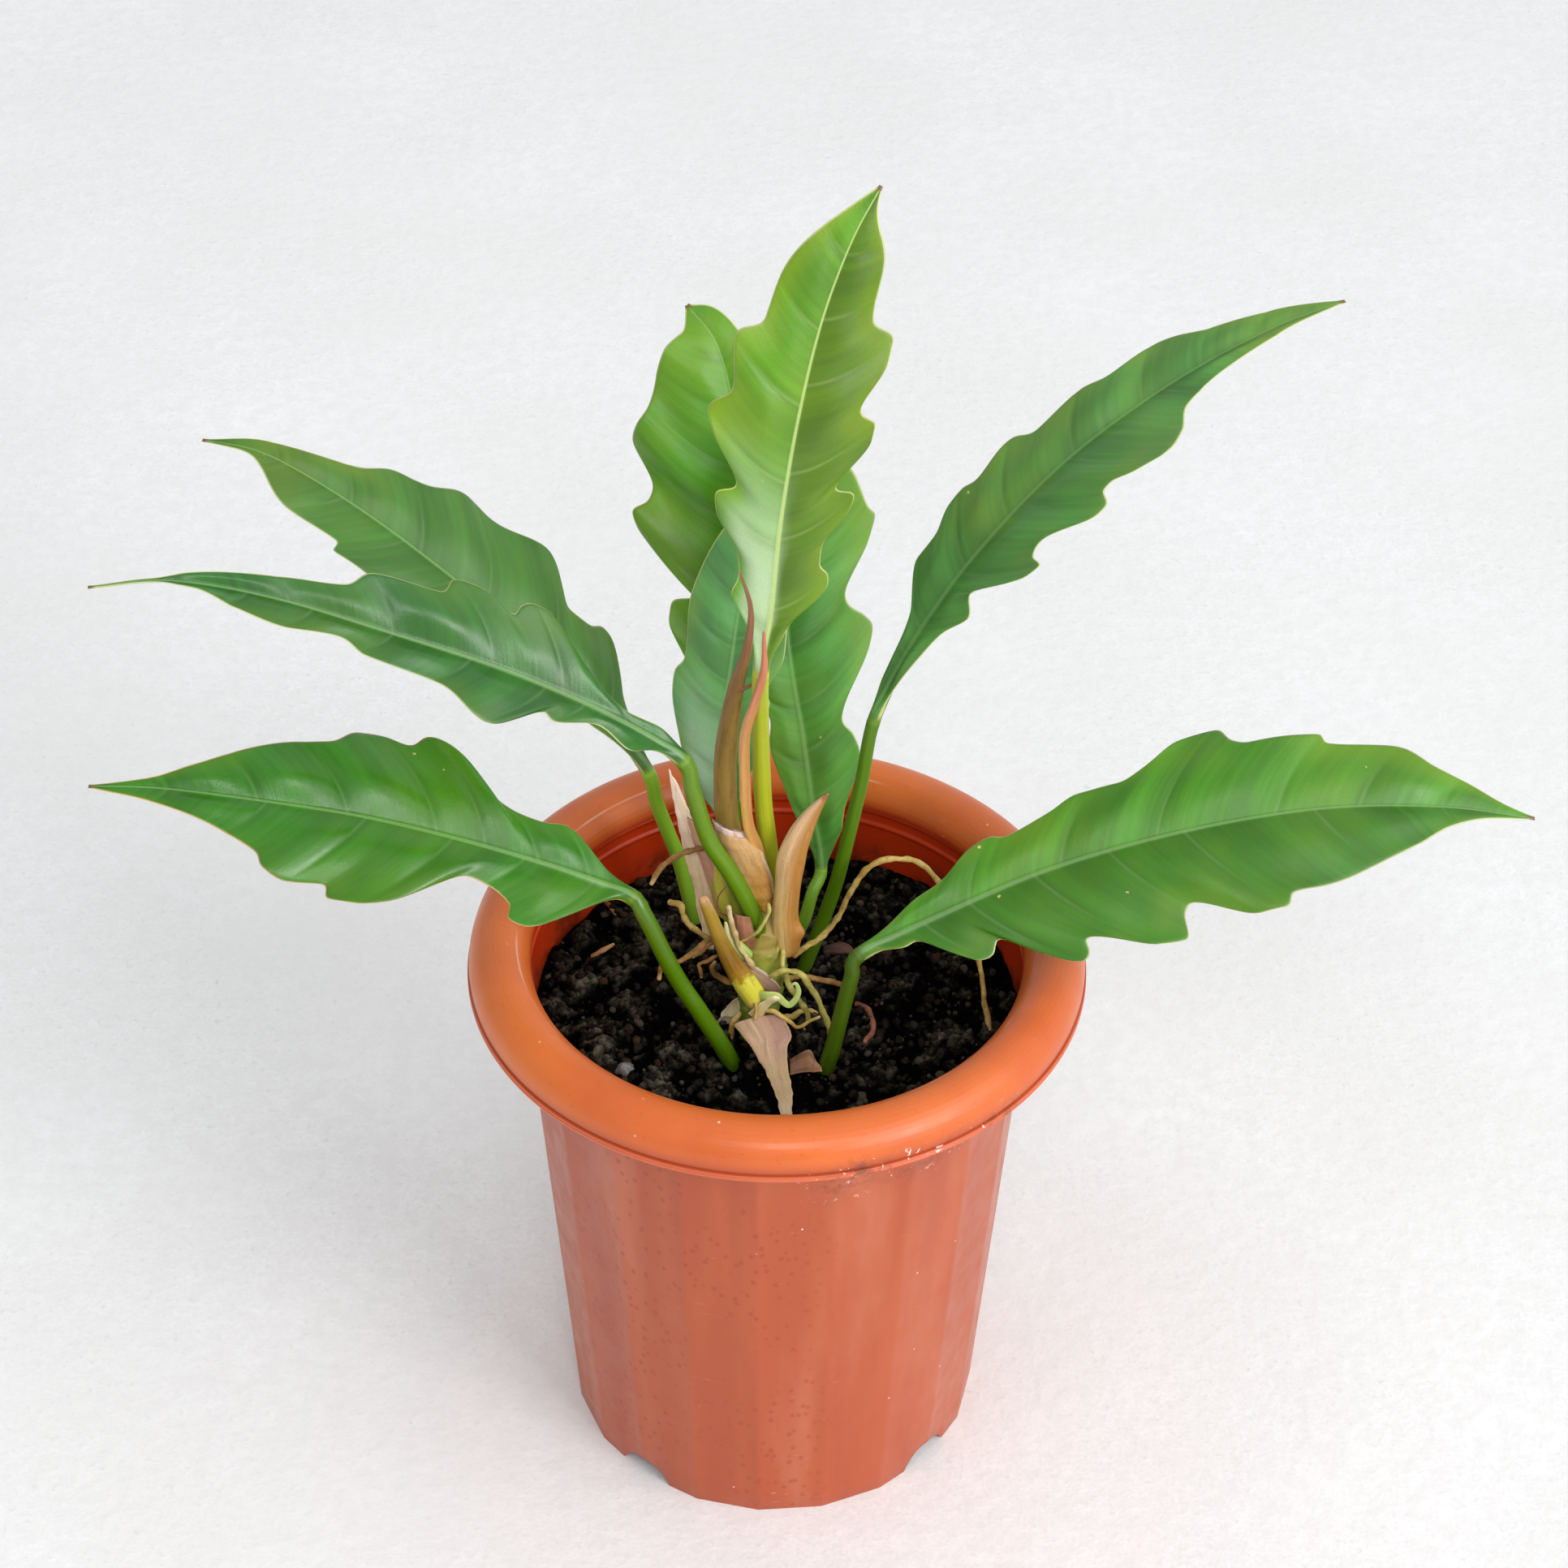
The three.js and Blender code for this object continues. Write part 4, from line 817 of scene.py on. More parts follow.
# %% Paths and edges of the leaves
# left and right list how far up the rib a vein starts and how far out it reaches. face is the
# way that the blade looks at its foot and at its tip, fold is in degrees, and slim is the
# share of the usual width that the stalk has.
LEAVES = {
    "leaf_front_left": dict(
        petiole=[[-13, -29, 164], [-15, -28, 177], [-25, -28, 199], [-32, -27, 212], [-37, -26, 223],
                 [-44, -24, 240]],
        midrib=[[-49, -22, 247], [-69, -21, 256], [-100, -20, 267], [-135, -18, 276], [-170, -17, 282],
                [-201, -15, 285], [-225, -14, 285]],
        face=[[0, -0.45, 1], [0.1, -0.45, 1]], fold=10,
        left=[[0.02, 9], [0.03, 24], [0.07, 32], [0.11, 30], [0.13, 24], [0.25, 16], [0.3, 37], [0.34, 41],
              [0.4, 40], [0.43, 34], [0.5, 36], [0.56, 32], [0.6, 25], [0.84, 8]],
        right=[[0.04, 8], [0.06, 16], [0.08, 20], [0.13, 18], [0.21, 22], [0.22, 32], [0.25, 40], [0.28, 42],
               [0.33, 37], [0.37, 40], [0.42, 38], [0.49, 30], [0.57, 28], [0.78, 12], [0.89, 4]]),
    "leaf_mid_left": dict(
        petiole=[[-4, -6, 204], [-6, -6, 217], [-10, -6, 230], [-16, -6, 244], [-23, -6, 258],
                 [-28, -5, 277]],
        midrib=[[-32, -4, 291], [-53, -5, 308], [-86, -6, 327], [-123, -8, 344], [-161, -9, 359],
                [-193, -11, 367], [-218, -12, 365]],
        face=[[0.1, -0.5, 1], [0.25, -0.5, 1]], fold=20,
        left=[[0.04, 6], [0.06, 13], [0.14, 8], [0.19, 16], [0.22, 13], [0.24, 29], [0.26, 30], [0.39, 18],
              [0.51, 16], [0.57, 11], [0.65, 14], [0.74, 10], [0.83, 3], [0.9, 0.9]],
        right=[[0.03, 6], [0.1, 5], [0.13, 7], [0.18, 20], [0.2, 30], [0.23, 31], [0.26, 28], [0.28, 23],
               [0.31, 30], [0.35, 32], [0.39, 24], [0.51, 22], [0.57, 14], [0.67, 10], [0.84, 4], [0.9, 1]]),
    "leaf_upper_left": dict(
        slim=0.8,
        petiole=[[-27, 44, 164], [-29, 44, 177], [-34, 43, 205], [-38, 42, 220], [-42, 42, 234]],
        midrib=[[-45, 42, 248], [-59, 47, 268], [-83, 54, 292], [-112, 63, 315], [-143, 74, 335],
                [-172, 83, 349], [-194, 90, 350]],
        face=[[0.45, -0.4, 0.8], [0.4, -0.4, 0.8]], fold=12,
        left=[[0.04, 5], [0.12, 12], [0.2, 16], [0.25, 13], [0.31, 24], [0.38, 26], [0.43, 20], [0.5, 27],
              [0.6, 28], [0.62, 22], [0.73, 21], [0.92, 2]],
        right=[[0.07, 8], [0.1, 15], [0.11, 28], [0.13, 31], [0.17, 26], [0.23, 24], [0.25, 37], [0.27, 40],
               [0.38, 37], [0.42, 38], [0.54, 28], [0.6, 26], [0.69, 16], [0.92, 4]]),
    "leaf_back_left": dict(
        petiole=[[-12, 33, 164], [-13, 34, 178], [-15, 40, 208], [-16, 45, 234]],
        midrib=[[-17, 50, 258], [-16, 58, 274], [-14, 71, 299], [-14, 85, 327], [-16, 98, 355],
                [-22, 109, 377], [-32, 118, 387]],
        face=[[0, -0.8, 0.6], [0, -0.6, 0.8]], fold=8,
        left=[[0.04, 10], [0.08, 22], [0.13, 30], [0.16, 30], [0.24, 19], [0.25, 44], [0.3, 48], [0.37, 40],
              [0.41, 38], [0.48, 46], [0.53, 44], [0.6, 38], [0.81, 24], [0.93, 8]],
        right=[[0.04, 10], [0.08, 22], [0.16, 26], [0.22, 20], [0.27, 32], [0.34, 36], [0.4, 28], [0.47, 37],
               [0.55, 38], [0.62, 30], [0.74, 24], [0.86, 11], [0.93, 8]]),
    "leaf_top_centre": dict(
        petiole=[[-3, 3, 214], [-3, 4, 226], [-3, 4, 244], [-5, 4, 266], [-6, 4, 294]],
        midrib=[[-6, 4, 322], [-3, 8, 343], [0, 14, 375], [5, 20, 409], [12, 30, 439], [21, 39, 463],
                [30, 46, 479]],
        face=[[0.1, -1, 0.3], [0.05, -0.9, 0.5]], fold=8,
        left=[[0.05, 7], [0.09, 18], [0.15, 15], [0.19, 16], [0.23, 26], [0.27, 28], [0.32, 20], [0.37, 32],
              [0.4, 36], [0.48, 28], [0.52, 30], [0.56, 32], [0.63, 22], [0.72, 21], [0.93, 6]],
        right=[[0.04, 6], [0.08, 9], [0.11, 22], [0.13, 22], [0.17, 18], [0.21, 18], [0.25, 27], [0.28, 29],
               [0.33, 20], [0.38, 32], [0.42, 32], [0.49, 24], [0.56, 31], [0.6, 31], [0.68, 20], [0.81, 16],
               [0.97, 2]]),
    "leaf_inner_left": dict(
        petiole=[[-12, 11, 164], [-13, 11, 180], [-15, 12, 208], [-16, 16, 226]],
        midrib=[[-18, 22, 242], [-19, 25, 257], [-19, 29, 278], [-16, 34, 302], [-13, 41, 324],
                [-9, 47, 342], [-7, 52, 355]],
        face=[[-0.2, -1, 0.3], [0, -0.9, 0.5]], fold=8,
        left=[[0.08, 14], [0.2, 19], [0.35, 23], [0.4, 20], [0.56, 21], [0.7, 18], [0.82, 14], [0.93, 6]],
        right=[[0.08, 12], [0.2, 18], [0.3, 20], [0.36, 17], [0.45, 22], [0.6, 21], [0.66, 16], [0.8, 14],
               [0.93, 6]]),
    "leaf_inner_right": dict(
        slim=0.7,
        petiole=[[2, 30, 164], [3, 28, 178], [9, 28, 192], [12, 31, 203]],
        midrib=[[15, 36, 210], [12, 40, 231], [8, 46, 261], [3, 52, 294], [2, 61, 324], [5, 68, 349],
                [11, 74, 368]],
        face=[[0, -0.9, 0.5], [0, -0.8, 0.6]], fold=8,
        left=[[0.04, 4], [0.14, 10], [0.25, 15], [0.32, 13], [0.4, 20], [0.5, 26], [0.55, 20], [0.65, 26],
              [0.72, 24], [0.85, 16], [0.95, 5]],
        right=[[0.02, 9], [0.08, 14], [0.14, 22], [0.17, 24], [0.23, 22], [0.28, 18], [0.31, 21], [0.36, 35],
               [0.39, 38], [0.44, 35], [0.54, 26], [0.61, 36], [0.66, 38], [0.71, 34], [0.85, 22],
               [0.95, 7]]),
    "leaf_upper_right": dict(
        slim=0.74,
        petiole=[[8, 17, 164], [9, 17, 178], [15, 19, 198], [20, 20, 217], [24, 21, 238], [28, 23, 260]],
        midrib=[[32, 25, 286], [43, 32, 309], [64, 42, 340], [93, 54, 370], [127, 70, 390], [159, 84, 402],
                [184, 94, 407]],
        face=[[-0.5, -0.3, 0.8], [-0.4, -0.3, 0.9]], fold=14,
        left=[[0.02, 4], [0.08, 5], [0.15, 11], [0.16, 24], [0.22, 23], [0.25, 27], [0.28, 27], [0.32, 24],
              [0.38, 28], [0.44, 22], [0.52, 23], [0.58, 20], [0.65, 22], [0.76, 14], [0.95, 4]],
        right=[[0.04, 5], [0.1, 10], [0.15, 14], [0.17, 22], [0.23, 14], [0.24, 36], [0.27, 38], [0.29, 30],
               [0.33, 26], [0.39, 36], [0.41, 36], [0.44, 30], [0.46, 30], [0.47, 34], [0.51, 37], [0.58, 29],
               [0.65, 17], [0.79, 9], [0.92, 3]]),
    "leaf_front_right": dict(
        slim=0.85,
        petiole=[[16, -31, 164], [17, -30, 177], [19, -30, 186], [22, -28, 201], [25, -25, 214]],
        midrib=[[28, -22, 222], [53, -16, 233], [91, -8, 248], [136, -3, 261], [181, 2, 267],
                [221, 7, 264], [253, 10, 257]],
        face=[[-0.1, -0.5, 0.9], [0, -0.45, 1]], fold=8,
        left=[[0.04, 6], [0.07, 11], [0.11, 14], [0.14, 22], [0.17, 24], [0.2, 21], [0.26, 24], [0.29, 28],
              [0.35, 28], [0.38, 34], [0.4, 42], [0.45, 45], [0.49, 37], [0.52, 34], [0.62, 34], [0.63, 30],
              [0.73, 28], [0.81, 18], [0.87, 12], [0.94, 5]],
        right=[[0.02, 3], [0.04, 7], [0.07, 6], [0.08, 25], [0.1, 26], [0.14, 20], [0.15, 36], [0.17, 44],
               [0.19, 42], [0.21, 36], [0.27, 49], [0.32, 48], [0.37, 35], [0.39, 32], [0.45, 44], [0.49, 44],
               [0.52, 38], [0.57, 36], [0.69, 27], [0.76, 20], [0.85, 9], [0.93, 3]]),
}
print("leaves:", len(LEAVES))

# %% Where the side veins run
FINE_SHARES = np.linspace(0, 1, 4001)
TOOTH_ROUNDING = 1.1
LEAST_TOOTH, LAST_VEIN = 9, 0.86
LEAST_GAP, WIDEST_GAP = 0.05, 0.19


def whole_edge(edge):
    """The edge from the top of the stalk, through its teeth, to the tip."""
    return [[0, STALK_TOP], *edge, [1, TIP_REACH]]


def tooth_veins(edge):
    """Shares of the rib where a vein leaves it: one to each tooth, and more where the gap between
    two teeth is wide."""
    at, reach = np.array(whole_edge(edge)).T
    peak = (reach[1:-1] >= reach[:-2]) & (reach[1:-1] > reach[2:]) & (reach[1:-1] > LEAST_TOOTH)
    veins = [0.0]
    for tooth in [*at[1:-1][peak], LAST_VEIN]:
        gap = tooth - veins[-1]
        if gap > LEAST_GAP:
            extra = int(gap / WIDEST_GAP)
            veins += [veins[-1] + gap * (k + 1) / (extra + 1) for k in range(extra)]
            veins.append(tooth)
    return np.array([*veins, 1.0])


def from_vein(at, veins, length):
    """Millimetres to the nearest vein, how far along the gap between two veins each point lies,
    how wide that gap is, and its number."""
    i = np.clip(np.searchsorted(veins, at, "right") - 1, 0, len(veins) - 2)
    wide = (veins[i + 1] - veins[i]) * length * math.cos(VEIN_SWEEP)
    share = np.clip((at - veins[i]) / (veins[i + 1] - veins[i]), 0, 1)
    return np.minimum(share, 1 - share) * wide, share, wide, i


def edge_reach(edge, length):
    """Reach of an edge at every fine share of the rib: the smooth line through its teeth, whose
    corners are then rounded by a bell-shaped running mean."""
    reach = smooth_knots(whole_edge(edge), FINE_SHARES)
    spread = TOOTH_ROUNDING / length * (len(FINE_SHARES) - 1)
    span = int(3 * spread)
    bell = np.exp(-((np.arange(-span, span + 1) / spread) ** 2) / 2)
    return np.convolve(np.pad(reach, span, "edge"), bell / bell.sum(), "valid")


def blade_rows(edges, veins, length):
    """Shares of the rib for the rows: closer together where an edge runs steeply out or in, and
    the row nearest to each vein is moved onto it."""
    cost = np.sqrt(np.diff(FINE_SHARES * length) ** 2 + sum(0.3 * np.diff(e) ** 2 for e in edges.values()))
    spent = np.concatenate([[0], np.cumsum(cost)])
    rows = np.interp(np.linspace(0, spent[-1], BLADE_ROWS), spent, FINE_SHARES)
    rows[np.abs(rows[:, None] - veins).argmin(0)] = veins
    return np.sort(rows)


for leaf_name, leaf in LEAVES.items():
    print(leaf_name, "side veins:", *[len(tooth_veins(leaf[side])) - 2 for side in ("left", "right")])

# %% Points round one ring of a leaf


def ring_pattern():
    """For each point of a ring: its side of the rib, how many steps out from the rib it lies, and
    whether it is on the upper face, on the edge or below."""
    half = HALF_RING
    steps = np.arange(half)
    out = np.concatenate([steps, [half], steps[:0:-1], [0], steps[1:], [half], steps[:0:-1]])
    side = np.concatenate([np.ones(2 * half), [0], -np.ones(2 * half - 1)])
    side[0] = 0
    above, below, edge = np.ones(half - 1), -np.ones(half - 1), [0]
    upper = np.concatenate([[1], above, edge, below, [-1], below, edge, above])
    return side, out, upper


RING_SIDE, RING_STEP, RING_UPPER = ring_pattern()
print("points in a ring:", len(RING_SIDE))

# %% The grid of one leaf


def blade_offsets(leaf, row, reach, rib, length, quilt):
    """Across, up and forward offsets of every ring point of the blade: out along the swept and
    bowed vein, folded up from the rib, arched and rippled as in the CAD, hollowed beside the rib,
    quilted unevenly between the veins, with a groove over each vein, a rib that stands proud
    below and a thin rounded edge."""
    side, step, upper = RING_SIDE[None], RING_STEP[None], RING_UPPER[None]
    far = np.where(side < 0, reach["left"][:, None], reach["right"][:, None])
    near = np.minimum(1.7 * rib, 0.42 * np.minimum(reach["left"], reach["right"]))[:, None]
    past = np.clip((step - RIB_POINTS) / (HALF_RING - RIB_POINTS), 0, 1)
    on_blade = near + (far - near) * (1 - (1 - past) ** 1.5)
    a = np.where(step <= RIB_POINTS, near * step / RIB_POINTS, on_blade)
    outward = np.clip(a / far, 0, 1)
    bow = VEIN_BOW * far / 40 * 4 * outward * (1 - outward)
    measured = [from_vein(row[:, None], tooth_veins(leaf[name]), length) for name in ("left", "right")]
    vein, share, wide, gap = [np.where(side < 0, left, right) for left, right in zip(*measured)]
    lively = 1 + 0.45 * drift(gap + 7.0 * side, int(length))
    pillow = quilt * lively * QUILT_RISE * np.minimum(wide, QUILT_WIDEST) * np.sin(math.pi * share) ** 1.15
    groove = GROOVE_DEPTH * quilt * np.exp(-((vein / GROOVE_HALF) ** 2))
    open_blade = ease(a, 0.5 * near, 0.4 * far + 2) * (1 - 0.75 * ease(outward, 0.45, 1))
    from_ends = ease(row, 0.02, 0.12)[:, None] * (1 - ease(row, 0.82, 0.95))[:, None]
    hollow = BLADE_HOLLOW * far * outward * (1 - outward) ** 2 * ease(row, 0.03, 0.15)[:, None]
    lift = (pillow - groove) * open_blade * from_ends + hollow
    across = a * math.cos(VEIN_SWEEP)
    fold = math.radians(leaf["fold"])
    phase = np.where(side > 0, 0.25, 0)
    ripple = RIPPLE_HEIGHT * (a / 30) ** 2 * np.sin(2 * math.pi * (RIPPLE_COUNT * row[:, None] + phase))
    inside = np.maximum(far - a, 0)
    half = BLADE_HALF * np.sqrt(np.clip(inside / EDGE_ROUND, 0, 1))
    bare = rib[:, None] * np.sqrt(np.clip(1 - (a / (1.5 * rib[:, None])) ** 2, 0, 1))
    ridge = 0.34 * rib[:, None] * np.exp(-((a / (0.5 * rib[:, None])) ** 2))
    up = across * math.sin(fold) + ripple - BLADE_ARCH * a**2 / 30 + lift
    up = up + np.where(upper > 0, half + ridge, np.where(upper < 0, -np.maximum(half, bare), 0))
    marks = {"vein": vein, "rib": a / rib[:, None], "edge": inside, "outward": outward}
    return side * across * math.cos(fold), up, a * math.sin(VEIN_SWEEP) - bow, a, marks


def make_leaf(name, leaf, quilt):
    """Rings up the stalk, then rings across the blade. Over the first part of the blade each ring
    goes over from the round of the stalk to the flat of the blade."""
    fine, length = route_through([*leaf["petiole"], *leaf["midrib"]])
    stalk = length[len(leaf["petiole"]) * SPAN_POINTS]
    blade = length[-1] - stalk
    edges = {side: edge_reach(leaf[side], blade) for side in ("left", "right")}
    row = blade_rows(edges, np.concatenate([tooth_veins(leaf["left"]), tooth_veins(leaf["right"])]), blade)
    before = np.linspace(0, stalk, max(12, int(stalk / STALK_STEP)), endpoint=False)
    at = np.concatenate([before, stalk + row * blade])
    share = np.concatenate([np.zeros(len(before)), row])
    face = np.array(leaf["face"][0]) + (np.array(leaf["face"][1]) - leaf["face"][0]) * share[:, None]
    centre, along, out, right = along_route(fine, length, at, face)
    reach = {side: np.interp(share, FINE_SHARES, edge) for side, edge in edges.items()}
    rib = RIB_BASE + (RIB_TIP - RIB_BASE) * share**0.8
    across, up, ahead, a, marks = blade_offsets(leaf, share, reach, rib, blade, quilt)
    slim = leaf.get("slim", STALK_SLIM)
    radius = (STALK_FOOT + (STALK_TOP - STALK_FOOT) * np.clip(at / stalk, 0, 1)) * slim
    joint = 0.12 * np.exp(-(((at - stalk + 2) / 1.4) ** 2))
    radius = radius * (1 + 0.02 * drift(at, len(name), 9)) + joint
    turn = math.pi / 2 * (1 - RING_STEP / HALF_RING) * np.where(RING_UPPER < 0, -1, 1)
    round_across = radius[:, None] * np.cos(turn) * RING_SIDE
    round_up = radius[:, None] * np.sin(turn)
    blend = np.concatenate([np.zeros(len(before)), ease(row, 0, BLEND_END)])[:, None]
    across, up, ahead = (round_across + (across - round_across) * blend,
                         round_up + (up - round_up) * blend, ahead * blend)
    grid = (centre[:, None] + across[..., None] * right[:, None] + up[..., None] * out[:, None]
            + ahead[..., None] * along[:, None])
    marks["grown"] = np.repeat(np.where(at < stalk, (at - stalk) / stalk, share)[:, None], len(RING_SIDE), 1)
    marks["under"] = np.repeat((RING_UPPER < 0)[None].astype(float), len(at), 0)
    marks["half"] = marks["outward"] * RING_SIDE
    uv = np.stack([a * RING_SIDE / 100, np.repeat(at[:, None], len(RING_SIDE), 1) / 100], -1)
    return closed_skin(name, grid, np.concatenate([uv, uv[:, :1]], 1), marks)


# %% [markdown]
# The finish of a leaf has to tell five things apart: the pale rib, the side veins, the
# green between them, the thin margin and the underside. Each point of the mesh carries
# how far it is from the rib, from its vein and from the edge, so the shader can draw lines
# of any width without a picture. Long stripes along the veins come from noise that is
# stretched on the leaf's own map.

# %% Green of a blade


def shaded(colour, share):
    """The same hue, lighter or darker."""
    return tone(*[min(255, c * share) for c in colour])


def paler(colour, share, more):
    """The hue times a share, with that much more of red, green and blue alike."""
    return tone(*[min(255, c * share + more) for c in colour])


def blade_green(f, place, stripes, green, right):
    """Lighter and darker green in bands and stripes along the veins, and warmer clouds, most of
    them near the edge. The right half can be painted a darker green of its own, which stands in
    for the shade on that half; on the top centre leaf it is also more olive."""
    bands = f.noise(1, f.pattern(along=6, across=0.9), 3, 0.5)
    along = f.math("ADD", f.math("MULTIPLY", bands, 0.7), f.math("MULTIPLY", stripes, 0.3))
    blend = f.ease(along, 0.34, 0.66)
    colour = f.mix(blend, shaded(green, 0.88), shaded(green, 1.1))
    # Painted shade: the right half gets a darker green, on the top centre leaf a more olive one too.
    if right:
        own = f.mix(blend, shaded(right, 0.9), shaded(right, 1.08))
        colour = f.mix(f.ease(f.mark("half"), -0.02, 0.04), colour, own)
    warm = tone(min(255, green[0] * 1.3 + 18), green[1] * 1.06 + 6, green[2] * 0.8)
    colour = f.mix(f.ease(f.noise(14, place, 3), 0.46, 0.72, 0, 0.6), colour, warm)
    clouds = f.ease(f.noise(26, place, 2), 0.42, 0.62, 0, 0.5)
    return f.mix(f.math("MULTIPLY", f.ease(f.mark("outward"), 0.5, 1), clouds), colour, warm)


def painted_sheen_patch(f, colour, sheen_tone):
    """A painted sheen: a pale patch on the left half, strongest low on the blade and gone before
    the edge, which stands in for a glossy reflection.
    """
    sheen_share = f.math("MULTIPLY", f.fall(f.mark("grown"), 0.14, 0.5, 0.72),
                  f.fall(f.mark("half"), -0.12, 0.22))
    return f.mix(f.math("MULTIPLY", sheen_share, f.fall(f.mark("outward"), 0.55, 1)), colour, tone(*sheen_tone))


# %% Veins, stalk and small marks of a leaf
TIP_BROWN, SPECK_YELLOW = (112, 84, 44), (206, 190, 110)


def rib_and_veins(f, colour, green, vein, vein_share, rib_share):
    """Beside each side vein the green is painted darker, as shade in the vein's valley. On it lies
    a pale line that fades to the edge and to the tip. The rib is pale all the way."""
    side_vein, grown, outward = f.mark("vein"), f.mark("grown"), f.mark("outward")
    # Painted shade: the green is darker beside each side vein.
    beside = f.math("MULTIPLY", f.fall(side_vein, 0.3, 3.2), f.fall(outward, 0.25, 0.85, 0.24))
    colour = f.mix(beside, colour, shaded(green, 0.66))
    line = f.math("MULTIPLY", f.fall(side_vein, 0.1, 0.8), f.ease(grown, 0.02, 0.1, 0, vein_share))
    line = f.math("MULTIPLY", line, f.fall(grown, 0.8, 0.92))
    colour = f.mix(f.math("MULTIPLY", line, f.fall(outward, 0.2, 0.9)), colour, tone(*vein))
    return f.mix(f.fall(f.mark("rib"), 0.25, 0.7, rib_share), colour, tone(*vein))


def small_marks(f, colour, place, green, margin):
    """A paler underside, the thin margin, and a few yellow specks."""
    colour = f.mix(f.math("MULTIPLY", f.mark("under"), 0.55), colour, paler(green, 0.9, 34))
    colour = f.mix(f.fall(f.mark("edge"), 0.15, 0.5, 0.8), colour, tone(*margin))
    speck = f.math("MULTIPLY", f.fall(f.cells(70, place), 0.03, 0.05),
                   f.ease(f.noise(300, place), 0.52, 0.6))
    return f.mix(speck, colour, tone(*SPECK_YELLOW))


def stalk_green(f, place, stalk):
    """Streaked and finely specked, and darker at the foot."""
    streaks = f.ease(f.noise(1, f.pattern(along=1.5, across=90), 3), 0.4, 0.65, 0, 0.35)
    colour = f.mix(streaks, tone(*stalk), paler(stalk, 1.12, 8))
    fine_speck = f.ease(f.noise(1600, place, 1), 0.62, 0.72, 0, 0.3)
    colour = f.mix(fine_speck, colour, shaded(stalk, 0.72))
    return f.mix(f.ease(f.mark("grown"), -0.97, -0.6), shaded(stalk, 0.68), colour)


# %% Finish of the leaves


def leaf_finish(name, green, vein, margin, vein_share, rib_share=0.5, gloss=0.37, right=None,
                stalk=(70, 107, 0), sheen_tone=None):
    """The blade with its marks, then the stalk below it with a pale ring at the joint, and a brown
    tip. grown runs from -1 at the foot of the stalk over 0 at the joint to 1 at the tip."""
    f = Finish(name)
    place, grown = f.place(), f.mark("grown")
    stripes = f.noise(1, f.pattern(along=40, across=2), 3, 0.55)
    grain = f.noise(2200, place, 2, 0.6)
    colour = blade_green(f, place, stripes, green, right)
    # Painted sheen: a pale patch on the left half of some leaves.
    if sheen_tone:
        colour = painted_sheen_patch(f, colour, sheen_tone)
    colour = rib_and_veins(f, colour, green, vein, vein_share, rib_share)
    colour = small_marks(f, colour, place, green, margin)
    colour = f.mix(f.ease(grain, 0.3, 0.7, 0, 0.12), colour, shaded(green, 0.6))
    colour = f.mix(f.fall(grown, -0.006, 0.012), colour, stalk_green(f, place, stalk))
    ring = f.math("MULTIPLY", f.ease(grown, -0.022, -0.012), f.fall(grown, -0.006, 0.004, 0.5))
    colour = f.mix(ring, colour, paler(stalk, 1, 30))
    colour = f.mix(f.ease(grown, 0.986, 0.997), colour, tone(*TIP_BROWN))
    f.set(Base_Color=colour)
    waxed = f.ease(f.noise(120, place, 3), 0.3, 0.7, gloss, gloss + 0.08)
    f.set(Roughness=f.math("ADD", waxed, f.math("MULTIPLY", f.mark("under"), 0.18)))
    f.bump(stripes, 0.3, 0.3)
    f.bump(f.noise(420, place, 2), 0.12, 0.45)
    f.bump(grain, 0.06, 0.6)
    return f.material


# %% The nine leaves
GREEN = dict(vein=(134, 172, 104), margin=(206, 206, 138), vein_share=0.16)
# Each leaf's green and its stalk's colour were scaled until they looked as bright as they should, so part of
# each is painted light: leaves and stalks that catch more light and sheen are painted lighter, shaded ones
# darker, over each leaf's own green.
LEAF_LOOKS = {
    "leaf_front_left": dict(GREEN, green=(50, 114, 17), margin=(222, 176, 104), gloss=0.26),
    "leaf_mid_left": dict(GREEN, green=(46, 102, 36), gloss=0.27, vein_share=0.14, stalk=(88, 124, 12)),
    "leaf_upper_left": dict(GREEN, green=(66, 116, 36), stalk=(132, 178, 44)),
    "leaf_back_left": dict(GREEN, green=(78, 142, 22), vein_share=0.15),
    "leaf_top_centre": dict(GREEN, green=(84, 138, 10), right=(82, 118, 14), vein=(184, 204, 124),
                            margin=(214, 210, 138), gloss=0.34, stalk=(156, 164, 24), rib_share=0.8,
                            sheen_tone=(192, 214, 174)),
    "leaf_inner_left": dict(GREEN, green=(82, 140, 72), gloss=0.31, vein_share=0.15, sheen_tone=(170, 202, 168)),
    "leaf_inner_right": dict(GREEN, green=(80, 143, 56), gloss=0.32, stalk=(122, 168, 44), vein_share=0.18),
    "leaf_upper_right": dict(GREEN, green=(74, 129, 54), vein_share=0.12, rib_share=0.35, stalk=(76, 114, 0)),
    "leaf_front_right": dict(GREEN, green=(70, 131, 24), right=(56, 113, 16), vein=(140, 168, 118),
                             gloss=0.38, rib_share=0.42, stalk=(60, 88, 0)),
}
QUILT = {"leaf_front_left": 1.9, "leaf_mid_left": 1.7, "leaf_upper_right": 1.8}
USUAL_QUILT = 1.3

for leaf_name, leaf in LEAVES.items():
    piece = make_leaf(leaf_name.replace("leaf", "toothed_leaf"), leaf, QUILT.get(leaf_name, USUAL_QUILT))
    look = leaf_finish(leaf_name + "_green", **LEAF_LOOKS[leaf_name])
    settle(piece, look, "pale_leaf" if leaf_name == "leaf_top_centre" else "leaf", leaf_name)

# %% [markdown]
# The stem, the rolled new leaves and the roots are all solid strands: a ring carried along
# a path, wider or narrower as a short list says, and rounded off at both ends. A curve
# object with a bevel makes such a thing too, but it can't be oval, ridged or knobby.

# %% Strands


